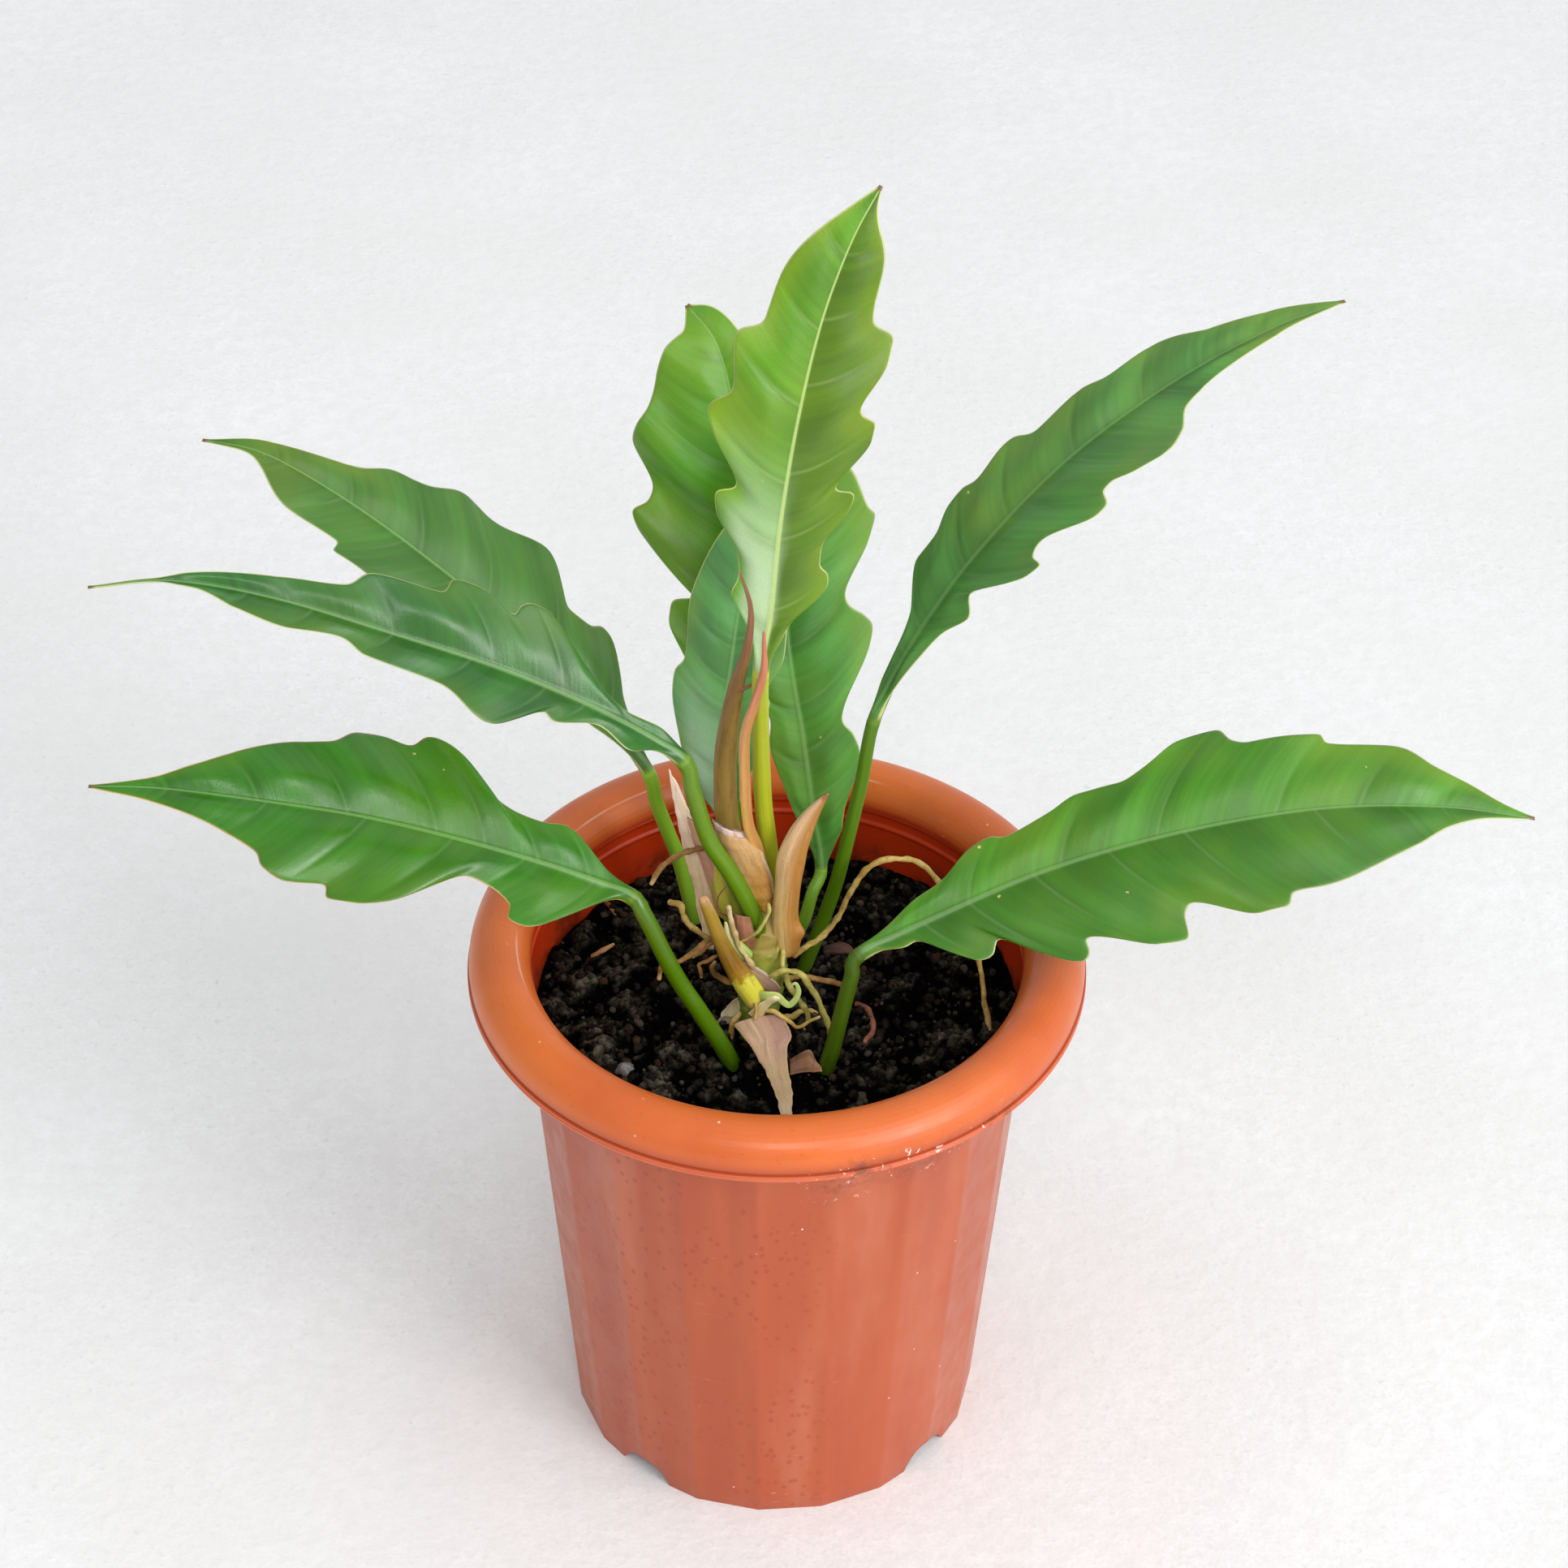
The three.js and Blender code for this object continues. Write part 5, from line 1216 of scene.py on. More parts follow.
def strand_grid(shape, rows, cols, relief=None):
    """Rings along a path: half the width to the sides and its flat share outwards, times a
    rounding at each end that goes in as a quarter circle does. relief adds millimetres to the
    radius at each angle and length."""
    fine, length = route_through(shape["path"])
    at = length[-1] * (1 - np.cos(np.linspace(0, math.pi, rows))) / 2
    at = 0.5 * at + 0.5 * np.linspace(0, length[-1], rows)
    centre, along, out, right = along_route(fine, length, at, shape["face"])
    knots = [[k / (len(shape["width"]) - 1), w] for k, w in enumerate(shape["width"])]
    half = smooth_knots(knots, at / length[-1]) / 2
    for end in (at, length[-1] - at):
        past = np.clip(end / half, 0, 1)
        half = half * np.sqrt(1 - (1 - np.maximum(past, 0.02)) ** 2)
    turn = np.linspace(0, 2 * math.pi, cols, endpoint=False)[None]
    extra = 0 if relief is None else relief(turn, at[:, None], half[:, None])
    wide, deep = half[:, None] + extra, half[:, None] * shape["flat"] + extra
    grid = (centre[:, None] + (wide * np.cos(turn))[..., None] * right[:, None]
            + (deep * np.sin(turn))[..., None] * out[:, None])
    uv = np.stack(np.broadcast_arrays(np.linspace(0, 1, cols + 1)[None], at[:, None] / 100), -1)
    marks = {"grown": np.repeat(at[:, None] / length[-1], cols, 1),
             "front": np.repeat(np.sin(turn), rows, 0), "sideways": np.repeat(np.cos(turn), rows, 0)}
    return grid, uv, marks


def make_strand(name, shape, rows, cols, relief=None):
    """The skin over a strand's rings."""
    grid, uv, marks = strand_grid(shape, rows, cols, relief)
    return closed_skin(name, grid, uv, marks)


# %% Skin of the stem, the sheaths and the small plant parts


def plant_finish(name, low, high, back=None, gloss=0.5, streak=60, speckle=0.3, rim=None, bands=()):
    """Colour that runs from the foot to the tip, with streaks along the piece and fine dots. Each
    band is a colour that takes over from one share of the length to another."""
    f = Finish(name, specular=0.4)
    place, grown = f.place(), f.mark("grown")
    colour = f.mix(f.ease(grown, 0.1, 0.9), tone(*low), tone(*high))
    if back:
        colour = f.mix(f.ease(f.mark("sideways"), -0.5, 0.6), colour, tone(*back))
    uneven = f.math("ADD", grown, f.ease(f.noise(260, place, 3), 0.3, 0.7, -0.03, 0.03))
    for start, end, band in bands:
        colour = f.mix(f.ease(uneven, start, end), colour, tone(*band))
    lines = f.noise(1, f.pattern(along=6, across=streak / 6), 4, 0.6)
    colour = f.mix(f.ease(lines, 0.45, 0.7, 0, 0.5), colour, shaded(low, 0.68))
    pale = f.noise(1, f.pattern(along=3, across=streak / 4), 2, 0.5)
    colour = f.mix(f.ease(pale, 0.55, 0.75, 0, 0.4), colour, paler(high, 1.15, 16))
    dots = f.ease(f.noise(1400, place, 2), 0.6, 0.72, 0, speckle)
    colour = f.mix(dots, colour, shaded(low, 0.55))
    if rim:
        colour = f.mix(f.fall(f.mark("edge"), 0.2, 0.7, 0.8), colour, tone(*rim))
    f.set(Base_Color=colour, Roughness=f.ease(lines, 0.3, 0.7, gloss, gloss + 0.15))
    f.bump(lines, 0.25, 0.6)
    f.bump(f.noise(1200, place, 3), 0.12, 0.5)
    return f.material


# %% The stem
FRONT = [0, -1, 0.3]
STEM = dict(path=[[-6, -18, 164], [-6, -16, 180], [-6, -11, 192], [-5, -5, 206], [-4, 0, 218], [-3, 2, 225]],
            width=[13, 13, 14, 17, 18, 11], flat=0.95, face=FRONT)
SCAR_STEP, SCAR_RISE = 7, 0.9


def stem_relief(turn, at, half):
    """Low scars of old leaves: a sharp step that slopes round the stem, every SCAR_STEP."""
    phase = (at + 2.4 * np.sin(turn + 0.6) + 0.8 * np.sin(3 * turn)) / SCAR_STEP
    return SCAR_RISE * (phase % 1) ** 3 - 0.5 + 0.35 * drift(at + 3 * turn, 3, 2.2)


stem = make_strand("stem_with_scars", STEM, 120, 56, stem_relief)
settle(stem, plant_finish("stem_green", (58, 92, 24), (150, 158, 52), bands=((0.62, 0.8, (150, 130, 60)),)),
       "stem", "stem")

# %% [markdown]
# Two new leaves are still rolled up like spears. Each is a strand with one free edge that
# winds round it, so the relief is a step that drifts slowly round the spear.

# %% The rolled new leaves
NEW_LEAVES = {
    "new_leaf_olive": dict(
        path=[[-6, 4, 214], [-12, 8, 230], [-17, 12, 250], [-18, 14, 268], [-17.4, 13.6, 284.2],
              [-14.4, 9, 309.8], [-10.6, 3, 331.4], [-9.4, 0.4, 349.4], [-12.8, -1, 365.4]],
        width=[6, 7.4, 7.8, 7.6, 6.8, 5.4, 3.2, 1.9, 0.7], flat=0.7, face=FRONT),
    "new_leaf_pink": dict(
        path=[[-4, -1, 226], [-5, 0, 240], [-7, -1, 251], [-10, -2, 262], [-11, -2, 280], [-11, -2, 299],
              [-8, -2, 312], [-5, -3, 327], [-5, -3, 343]],
        width=[3.5, 3.6, 3.8, 3.8, 3.6, 3.4, 3, 2.2, 0.8], flat=0.8, face=FRONT),
}


def rolled_edge(start, twist):
    """The free edge of a rolled leaf: a step in the radius at an angle that turns up the spear."""
    def relief(turn, at, half):
        past = ((turn - start - twist * at) / (2 * math.pi)) % 1
        return np.minimum(0.55, 0.28 * half) * (past - 0.5) + 0.06 * drift(at, 8, 5)
    return relief


olive = make_strand("rolled_leaf_olive", NEW_LEAVES["new_leaf_olive"], 160, 40, rolled_edge(0.4, 0.004))
settle(olive, plant_finish("olive_brown", (150, 122, 44), (128, 96, 66), back=(170, 138, 70), gloss=0.38,
                           bands=((0.5, 0.9, (140, 92, 66)),)), "olive", "new_leaf_olive")
pink = make_strand("rolled_leaf_pink", NEW_LEAVES["new_leaf_pink"], 160, 32, rolled_edge(2.2, 0.012))
settle(pink, plant_finish("pink_orange", (218, 170, 84), (200, 136, 98), back=(178, 126, 66), gloss=0.38,
                          bands=((0.6, 0.9, (192, 112, 88)),)), "pink", "new_leaf_pink")

# %% [markdown]
# Two of the bracts that once wrapped new leaves have stayed rolled up: a horn on the right
# with a knob near its foot, and a smaller one in front whose foot swells to a yellow bulb.
# They are strands. The relief raises the free edge of the roll and the knob.

# %% Horn shaped sheaths
HORNS = {
    "sheath_right": dict(
        path=[[3.6, -7, 207], [3, -6.5, 216], [2.4, -6, 226], [3.2, -6, 238], [4.4, -5, 250], [7.5, -4, 260],
              [11.5, -3, 268], [16.4, -3, 276]],
        width=[6.6, 9.6, 8.8, 8.6, 9.7, 8.1, 5, 0.8], flat=0.72, face=FRONT),
    "sheath_low": dict(
        path=[[-6.5, -17.5, 193], [-8, -17, 198], [-10.2, -17, 202.5], [-13, -17, 208], [-16.4, -17, 215.5],
              [-20, -17, 226], [-23, -17, 236], [-25.2, -17, 242.5]],
        width=[6.6, 8.4, 7.8, 6.6, 5.6, 5, 4.6, 3.4], flat=0.85, face=FRONT),
}


def horn_relief(knob_at, knob_turn, knob_high):
    """The free edge that winds up the horn, low ribs along it, and a knob like a small dome."""
    def relief(turn, at, half):
        past = ((turn - 0.35 - 0.01 * at) / (2 * math.pi)) % 1
        roll = np.minimum(0.7, 0.2 * half) * (past**2 - 0.4)
        off = (np.angle(np.exp(1j * (turn - knob_turn))) * half / 2.2) ** 2 + ((at - knob_at) / 2.6) ** 2
        ribs = 0.04 * np.sin(13 * turn) * ease(half, 1, 3)
        return roll + ribs + knob_high * np.exp(-off) + 0.1 * drift(at, 5, 6)
    return relief


horn = make_strand("sheath_right_papery", HORNS["sheath_right"], 130, 48, horn_relief(11, 0.3, 1.5))
settle(horn, plant_finish("horn_pink_brown", (204, 172, 104), (202, 164, 124), back=(172, 118, 52),
                          gloss=0.36, streak=120, speckle=0.35,
                          bands=((0.94, 1.0, (150, 90, 56)),)), "sheath", "sheath_right")
small_horn = make_strand("sheath_low_papery", HORNS["sheath_low"], 110, 40, horn_relief(6, -1.2, 0.8))
settle(small_horn, plant_finish("horn_yellow_brown", (196, 176, 92), (150, 116, 44), gloss=0.38,
                                bands=((0.08, 0.13, (206, 200, 62)), (0.25, 0.31, (150, 110, 24)),
                                       (0.33, 0.4, (132, 92, 22)), (0.45, 0.75, (158, 128, 42)),
                                       (0.88, 0.97, (190, 144, 104)))), "sheath", "sheath_low")

# %% [markdown]
# The other bracts, the dried flap and the scraps are thin sheets. Cloth could be draped for
# them, but dry bracts are stiff and keep their shape, so each is laid between two edges that
# run side by side. It is arched between them and has an outer and an inner face.

# %% Thin sheets between two edges
SHEET = 0.45
SHEET_ROWS, SHEET_COLUMNS = 80, 24


def sheet_grid(left, right, arch, face, seed, ragged=0.2, wrinkle=0.5):
    """Both edges are walked in equal steps. Between them a point lies on the straight line, moved
    out by arch times half that line's length on a flat-topped curve, and by smooth noise. The
    inner face comes after the outer one, on the way back."""
    rows, cols = SHEET_ROWS, SHEET_COLUMNS
    edges = []
    for k, knots in enumerate((left, right)):
        fine, length = route_through(knots)
        at = np.linspace(0, length[-1], rows)
        walked = np.stack([np.interp(at, length, fine[:, axis]) for axis in range(3)], -1)
        torn = ragged * np.stack([drift(at, seed + 3 * k + axis, 2.1) for axis in range(3)], -1)
        edges.append(walked + torn * ease(at, 0, 3)[:, None])
    step = np.linspace(-1, 1, cols)[None]
    half = (step[..., None] + 1) / 2
    middle = edges[0][:, None] * (1 - half) + edges[1][:, None] * half
    line = edges[1] - edges[0]
    wide = np.linalg.norm(line, axis=1)
    across = unit(line + 0.05 * line[np.argmax(wide)])
    along = unit(np.gradient(edges[0] + edges[1], axis=0))
    out = unit(np.cross(across, along))
    out = out * np.where(out @ np.asarray(face, float) < 0, -1, 1)[:, None]
    out = out[:, None]
    length_at = np.linspace(0, 1, rows)[:, None] * np.linalg.norm(np.diff(edges[0], axis=0), axis=1).sum()
    lift = arch * wide[:, None] / 2 * (1 - step**2) ** 0.6
    broad = drift(0.4 * length_at + 3 * step, seed + 9, 3.3)
    narrow = 0.5 * drift(7 * step + 0.06 * length_at, seed + 10, 1.6)
    folds = wrinkle * np.minimum(0.5, 0.06 * wide)[:, None] * (broad + narrow)
    thin = np.minimum(SHEET, 0.35 * wide)[:, None] * np.sqrt(1 - 0.94 * np.abs(step) ** 8)
    outer = middle + (lift + folds)[..., None] * out
    inner = outer - thin[..., None] * out
    grid = np.concatenate([outer, inner[:, ::-1]], 1)
    share = np.repeat(np.linspace(0, 1, rows)[:, None], 2 * cols, 1)
    edge = (1 - np.abs(step)) * wide[:, None] / 2
    both = np.concatenate([step, step[:, ::-1]], 1) * np.ones((rows, 1))
    uv = np.stack([both * wide[:, None] / 60, np.broadcast_to(length_at / 100, both.shape)], -1)
    marks = {"grown": share, "edge": np.concatenate([edge, edge[:, ::-1]], 1), "sideways": both}
    return grid, np.concatenate([uv, uv[:, :1]], 1), marks


# %% Edges of the sheaths, the flap and the scraps
SHEETS = {
    "sheath_centre": dict(
        left=[[-5.4, -4, 225.2], [-9.5, -3.4, 230], [-14.5, -1.5, 238], [-19, 0, 248], [-22.2, 1, 261.5]],
        right=[[-3.6, -4.6, 224.6], [-1.4, -3.6, 228], [-1, -3.2, 233], [-2.3, -2.6, 240], [-4.2, -2, 246.5],
               [-6.2, -1.4, 251.8], [-11.5, 0, 257]],
        arch=0.62, face=FRONT, wrinkle=0.25),
    "sheath_left": dict(
        left=[[-24, 7, 198], [-26, 9, 206], [-27.8, 12, 214], [-29, 14, 221], [-30.8, 15, 228.5],
              [-32.6, 16, 237.3], [-34.6, 17, 250.5], [-36.2, 17.6, 261], [-36.9, 18, 268.3]],
        right=[[-21.6, 6.5, 198], [-21.8, 8, 206], [-21.6, 10, 214], [-21.6, 11, 221], [-22, 12, 229],
               [-24.8, 14, 238.5], [-28.4, 15, 247.5], [-33, 16.5, 260.5], [-36.7, 18, 268.2]],
        arch=0.3, face=FRONT),
    "dry_flap": dict(
        left=[[-14.6, -22.6, 190], [-12, -26.2, 188.9], [-8.3, -31.6, 187.4], [-4.5, -38.3, 185.4],
              [-1.6, -44.6, 183.4], [0.2, -49.2, 181.8], [1.8, -56, 179.9]],
        right=[[2.2, -18.4, 191], [4.6, -24.1, 189.8], [5.3, -27.4, 188.6], [3.8, -31.5, 187.4],
               [4.1, -37.2, 185.7], [4.9, -42.3, 184.2], [5.8, -49.2, 182], [5.4, -56, 180]],
        arch=0.2, face=[0, -0.4, 1], ragged=0.25, wrinkle=0.8),
    "dry_scrap_left": dict(
        left=[[-20.7, -13, 180.5], [-19.4, -13.5, 184.5], [-17.1, -12.5, 188.4], [-13.6, -11.5, 192.3]],
        right=[[-12.8, -13.5, 179.5], [-12.3, -14, 184], [-12.4, -12.5, 188], [-12.8, -11.5, 191.8]],
        arch=-0.5, face=FRONT, ragged=0.35),
    "dry_scrap_right": dict(
        left=[[4.6, -30.6, 181.4], [8, -28.6, 182.6], [11.6, -28, 183.6], [13.4, -30.2, 181.6],
              [15.6, -33.4, 179.6]],
        right=[[4.8, -35.2, 178.6], [8, -34.6, 178.9], [11, -34, 178.9], [13.4, -34, 178.8],
               [15.8, -34.2, 178.9]],
        arch=0.45, face=[0, -0.6, 1], ragged=0.3),
    "inner_bract": dict(
        left=[[-21, 8, 214], [-22.5, 9.5, 222], [-25, 11, 230], [-28.5, 12.5, 243], [-30.5, 13, 252]],
        right=[[-14.5, 3, 214], [-13.5, 3, 224], [-14.5, 3.5, 232], [-18.5, 5, 244], [-24, 7, 254]],
        arch=0.35, face=FRONT),
    "brown_scale": dict(
        left=[[-15.4, -9, 214.5], [-15.2, -8.5, 221], [-14.6, -8, 227.5]],
        right=[[-7.4, -11, 214.5], [-7.6, -10.6, 221], [-9, -9.6, 227]],
        arch=0.4, face=FRONT),
    "papery_strip": dict(
        left=[[-12, -13.6, 211], [-6, -14.6, 208.5], [-0.6, -14.6, 203], [1.5, -13.6, 199]],
        right=[[-11.2, -14.2, 208], [-6.6, -15.6, 203], [-3, -15.6, 198.5], [-0.8, -14.6, 195.6]],
        arch=0.3, face=FRONT),
    "bulb_membrane": dict(
        left=[[-9.6, -19.6, 192.5], [-4.2, -20.4, 199.2], [-1.5, -21, 201.8], [1, -21, 201.6]],
        right=[[-4.6, -19.8, 191.2], [-2.6, -20.4, 196], [-0.6, -21, 199], [1.4, -21, 199.6]],
        arch=0.6, face=FRONT),
}
print("thin sheets:", len(SHEETS))

# %% Colours of the thin sheets
# Painted light: the left sheath's pale pink is lifted near to white, to make up for the shade it lies in.
PINK_PAINTED_LIGHTER = dict(low=(240, 214, 158), high=(252, 230, 208), back=(246, 220, 184), rim=(252, 236, 220))
SHEET_LOOKS = {
    "sheath_centre": (dict(low=(176, 136, 30), high=(192, 158, 120), back=(166, 118, 54), rim=(206, 184, 160),
                           bands=((0.4, 0.75, (188, 148, 94)), (0.86, 1, (212, 186, 178)))), "sheath"),
    "sheath_left": (PINK_PAINTED_LIGHTER, "sheath"),
    "dry_flap": (dict(low=(186, 152, 122), high=(192, 166, 132), back=(168, 128, 112), rim=(204, 166, 120),
                      bands=((0.35, 0.6, (172, 146, 108)), (0.75, 1, (200, 174, 142)))), "scrap"),
    "dry_scrap_left": (dict(low=(226, 214, 176), high=(204, 190, 140), rim=(238, 230, 204)), "scrap"),
    "dry_scrap_right": (dict(low=(112, 74, 46), high=(144, 102, 70), rim=(170, 132, 100)), "scrap"),
    "inner_bract": (dict(low=(190, 180, 66), high=(220, 176, 160), back=(198, 146, 122), rim=(168, 108, 84),
                         bands=((0.3, 0.42, (206, 158, 134)),)), "sheath"),
    "brown_scale": (dict(low=(134, 84, 60), high=(168, 116, 88), rim=(120, 84, 40)), "sheath"),
    "papery_strip": (dict(low=(164, 138, 112), high=(128, 96, 80), rim=(196, 172, 144)), "scrap"),
    "bulb_membrane": (dict(low=(190, 176, 112), high=(206, 196, 150), rim=(222, 206, 160)), "sheath"),
}
for index, (node, (look, slot_name)) in enumerate(SHEET_LOOKS.items()):
    grid, uv, marks = sheet_grid(seed=200 + 20 * index, **SHEETS[node])
    sheet = closed_skin(node + "_papery", grid, uv, marks)
    own_node = [node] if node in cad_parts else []
    skin = plant_finish(node + "_skin", gloss=0.48, streak=90, speckle=0.35, **look)
    settle(sheet, skin, slot_name, *own_node)

# %% [markdown]
# Aerial roots are knobby and kinked, tan to brown, with rounded ends. Each is a strand whose
# path is bent a little between its knots and whose radius swells and shrinks.

# %% Paths of the aerial roots
ROOTS = {
    "aerial_root_1": [[-8, 2, 238], [-13, 4.5, 243], [-19, 7, 245], [-25, 8, 243], [-32, 8, 240],
                      [-38, 7, 236], [-43, 4, 229]],
    "aerial_root_2": [[-37, 0, 225], [-33, -2, 226], [-31, -3, 220], [-27, -3, 215], [-20, -4, 210],
                      [-11, -4, 207]],
    "aerial_root_3": [[-12, -8, 212], [-18, -10, 219], [-23, -12, 219], [-28, -13, 214], [-34, -14, 210],
                      [-38, -14, 209], [-40, -15, 203]],
    "aerial_root_4": [[5, 3, 198], [15, 8, 203], [20, 9, 209], [24, 10, 219], [29, 11, 229], [35, 12, 234],
                      [42, 12, 235], [49, 10, 234], [56, 7, 227], [64, 1, 216], [69, -5, 203], [71, -9, 190],
                      [73, -12, 176]],
    "aerial_root_5": [[-3, -13, 202.5], [-1.6, -15, 206.6], [1.9, -16, 208.9], [5.7, -16, 208.2],
                      [8.7, -16, 206.2], [11.5, -16, 200.8], [14.2, -17, 195.4], [16.9, -18, 188],
                      [18.1, -19, 182.6], [16.8, -20, 174]],
    "aerial_root_6": [[2, -9, 212.5], [2.4, -14, 209.6], [3, -14.6, 206], [4.1, -14.6, 201],
                      [7.2, -14.4, 194.2], [10.6, -14.4, 187.5], [10.1, -15, 180.4], [8.8, -15.6, 174]],
    "aerial_root_7": [[1, -16, 187], [6, -12, 185], [11, -7, 182], [16, -3, 176]],
    "aerial_root_8": [[2, 0, 190], [7, 7, 185], [13, 11, 181], [22, 10, 179], [26, 9, 176]],
    "aerial_root_9": [[-11, -7, 194], [-16, -5, 193.5], [-20, -4, 195], [-22, -5, 199], [-21, -5, 203]],
    "aerial_root_10": [[-12, -15, 189], [-15, -17, 185], [-16, -18, 176]],
    "aerial_root_11": [[27, 1, 178.6], [31, -3, 179.4], [33, -12, 179.4], [30, -19, 178.6]],
    "aerial_root_12": [[-16.5, -10, 232.7], [-16, -11, 228.6], [-14.9, -12.6, 223.5], [-12.6, -13.6, 217.6],
                       [-10.4, -14.4, 212.6], [-8, -14, 209], [-7.4, -11, 203]],
}
FINE_ROOTS = {
    "fine_root_front": ([[-6.4, -18.6, 195], [-3, -20.4, 194.6], [-0.5, -20.4, 193.7], [4.6, -20.4, 189.2],
                         [7, -20.4, 187.1], [11.1, -20.2, 188.8], [14.9, -19.6, 191.4]], 1.5, "tan"),
    "fine_root_low": ([[-7, -20.6, 198], [-7.3, -22, 193], [-8.4, -22, 189.4], [-12, -22, 187.7],
                       [-14.2, -22, 188.8]], 1.2, "tan"),
    "fine_root_left": ([[-20, -7, 207.5], [-22.9, -8, 206.2], [-26.5, -8, 204.5], [-26, -8, 200.8],
                        [-25.7, -8, 197.9]], 1.3, "brown"),
    "fine_root_crossing": ([[-18, -6, 214], [-22.6, -8, 213.1], [-24.8, -8, 210.5],
                            [-28.7, -8, 207.1]], 1.2, "brown"),
    "fine_root_green": ([[-3, -9, 232.9], [-2.9, -10, 228.7], [-5.4, -10.6, 224.2], [-7.5, -11, 221.1],
                         [-12.2, -12, 217.9], [-15.6, -12.6, 216.4]], 1.3, "green"),
    "tendril": ([[-16.8, -8, 239.6], [-19.4, -8, 235.4], [-20.1, -8, 231.3], [-19.9, -8.4, 228.4],
                 [-17.5, -9, 227.3], [-15, -9.4, 226]], 0.5, "red"),
}
print("roots:", len(ROOTS), "and fine ones:", len(FINE_ROOTS))

# %% Shape of a root
ROOT_WIDTH, ROOT_TAPER = 2.0, 0.7
ROOT_COLUMNS, ROOT_LEAST_ROWS, ROOT_ROWS_PER_MM = 14, 40, 1.6
KINK_FREE_ENDS = 4


def make_root(name, path, seed, width=ROOT_WIDTH):
    """A strand with an uneven radius, moved sideways by smooth noise so that it kinks. Its ends
    stay where the path has them."""
    widths = [width] * (len(path) - 1) + [width * ROOT_TAPER]
    shape = dict(path=path, width=widths, flat=1, face=[0.1, -1, 0.35])

    def relief(turn, at, half):
        return half * (0.2 * drift(at, seed, 2.2) + 0.12 * drift(at + 9 * np.cos(turn), seed + 1, 1.5))

    length = route_through(path)[1][-1]
    rows = max(ROOT_LEAST_ROWS, int(ROOT_ROWS_PER_MM * length))
    grid, uv, marks = strand_grid(shape, rows, ROOT_COLUMNS, relief)
    at = marks["grown"][:, 0] * length
    held = ease(at, 0, KINK_FREE_ENDS) * ease(length - at, 0, KINK_FREE_ENDS)
    kink = np.stack([0.4 * drift(at, seed + k, 5.5) + 0.12 * drift(at, seed + k + 3, 1.9)
                     for k in (2, 3, 4)], -1)
    kink *= np.minimum(1, width / 1.6) * held[:, None]
    return closed_skin(name, grid + kink[:, None], uv, marks)


# %% Finish of the roots


def root_finish(name, low, high, tip):
    """Two browns in clouds, with dark dots and a tip of another tone."""
    f = Finish(name, roughness=0.7, specular=0.3)
    place = f.place()
    colour = f.mix(f.ease(f.noise(180, place, 4), 0.35, 0.7), tone(*low), tone(*high))
    colour = f.mix(f.ease(f.noise(1100, place, 2), 0.58, 0.7, 0, 0.5), colour, shaded(low, 0.5))
    colour = f.mix(f.ease(f.mark("grown"), 0.9, 1, 0, 0.7), colour, tone(*tip))
    f.set(Base_Color=colour)
    f.bump(f.noise(900, place, 3), 0.3, 0.7)
    return f.material


ROOT_LOOKS = {
    "tan": root_finish("root_tan", (164, 130, 62), (206, 180, 104), (226, 200, 140)),
    "green": root_finish("root_green", (150, 142, 62), (194, 184, 102), (214, 188, 126)),
    "brown": root_finish("root_brown", (132, 94, 48), (184, 142, 80), (214, 176, 124)),
    "red": root_finish("root_red", (104, 56, 42), (142, 88, 66), (168, 112, 86)),
    "pale": root_finish("root_pale", (166, 140, 88), (212, 196, 146), (196, 168, 120)),
}

# %% All roots
ROOT_COLOURS = {1: "brown", 2: "tan", 3: "brown", 4: "tan", 5: "green", 6: "green", 7: "tan", 8: "brown",
                9: "brown", 10: "tan", 11: "red", 12: "pale"}
for number, colour_name in ROOT_COLOURS.items():
    node = f"aerial_root_{number}"
    root = make_root(f"knobby_root_{number}", ROOTS[node], 50 + 7 * number)
    settle(root, ROOT_LOOKS[colour_name], "root", node)
for index, (fine_name, (path, width, colour_name)) in enumerate(FINE_ROOTS.items()):
    settle(make_root(fine_name, path, 400 + 9 * index, width), ROOT_LOOKS[colour_name], "root")

# %% [markdown]
# A few growing things sit among the bracts: a curled light green ribbon at the bulb of the
# small horn, a green bud, and the yellow green base that a hidden leaf grows from. They
# fill the gaps that would show between the bracts from the front.

# %% Growing tips
GROWING = {
    "spear_spur": (dict(path=[[-13.6, 8.4, 309.4], [-11.6, 6.6, 312], [-9.4, 5.4, 314.4], [-7.6, 4.4, 317.4]],
                        width=[1.8, 1.4, 1.1, 0.4], flat=0.7, face=FRONT),
                   dict(low=(150, 104, 66), high=(150, 92, 60)), "olive"),
    "curled_ribbon": (dict(path=[[-6.4, -18, 199], [-3.4, -20, 200.8], [0, -20.6, 201.3],
                                 [2.6, -20.6, 198.4], [4.4, -20.6, 197.4], [6.4, -20.6, 199.9],
                                 [7.4, -20.6, 203.6], [6.5, -20.6, 207], [5, -20.6, 206.4]],
                           width=[3.4, 3.6, 3, 2.6, 2.4, 2.2, 1.9, 1.5, 0.8], flat=0.35, face=FRONT),
                      dict(low=(176, 192, 104), high=(186, 208, 120)), "stem"),
    "green_bud": (dict(path=[[-9.1, -12.6, 210.9], [-12.6, -12.8, 215.2], [-16, -12.6, 219.3],
                             [-17.4, -12, 227]], width=[5, 5.2, 3.2, 0.8], flat=0.7, face=FRONT),
                  dict(low=(150, 176, 78), high=(206, 206, 150)), "stem"),
    "hidden_leaf_base": (dict(path=[[-8, -1, 204], [-13, 0, 217], [-17.5, 1, 229], [-20, 3, 240]],
                              width=[9, 9.6, 8, 3], flat=0.5, face=FRONT),
                         dict(low=(128, 146, 46), high=(190, 184, 66)), "stem"),
}
for growing_name, (shape, look, slot_name) in GROWING.items():
    growing = make_strand(growing_name, shape, 90, 24)
    settle(growing, plant_finish(growing_name + "_skin", gloss=0.42, speckle=0.2, **look), slot_name)

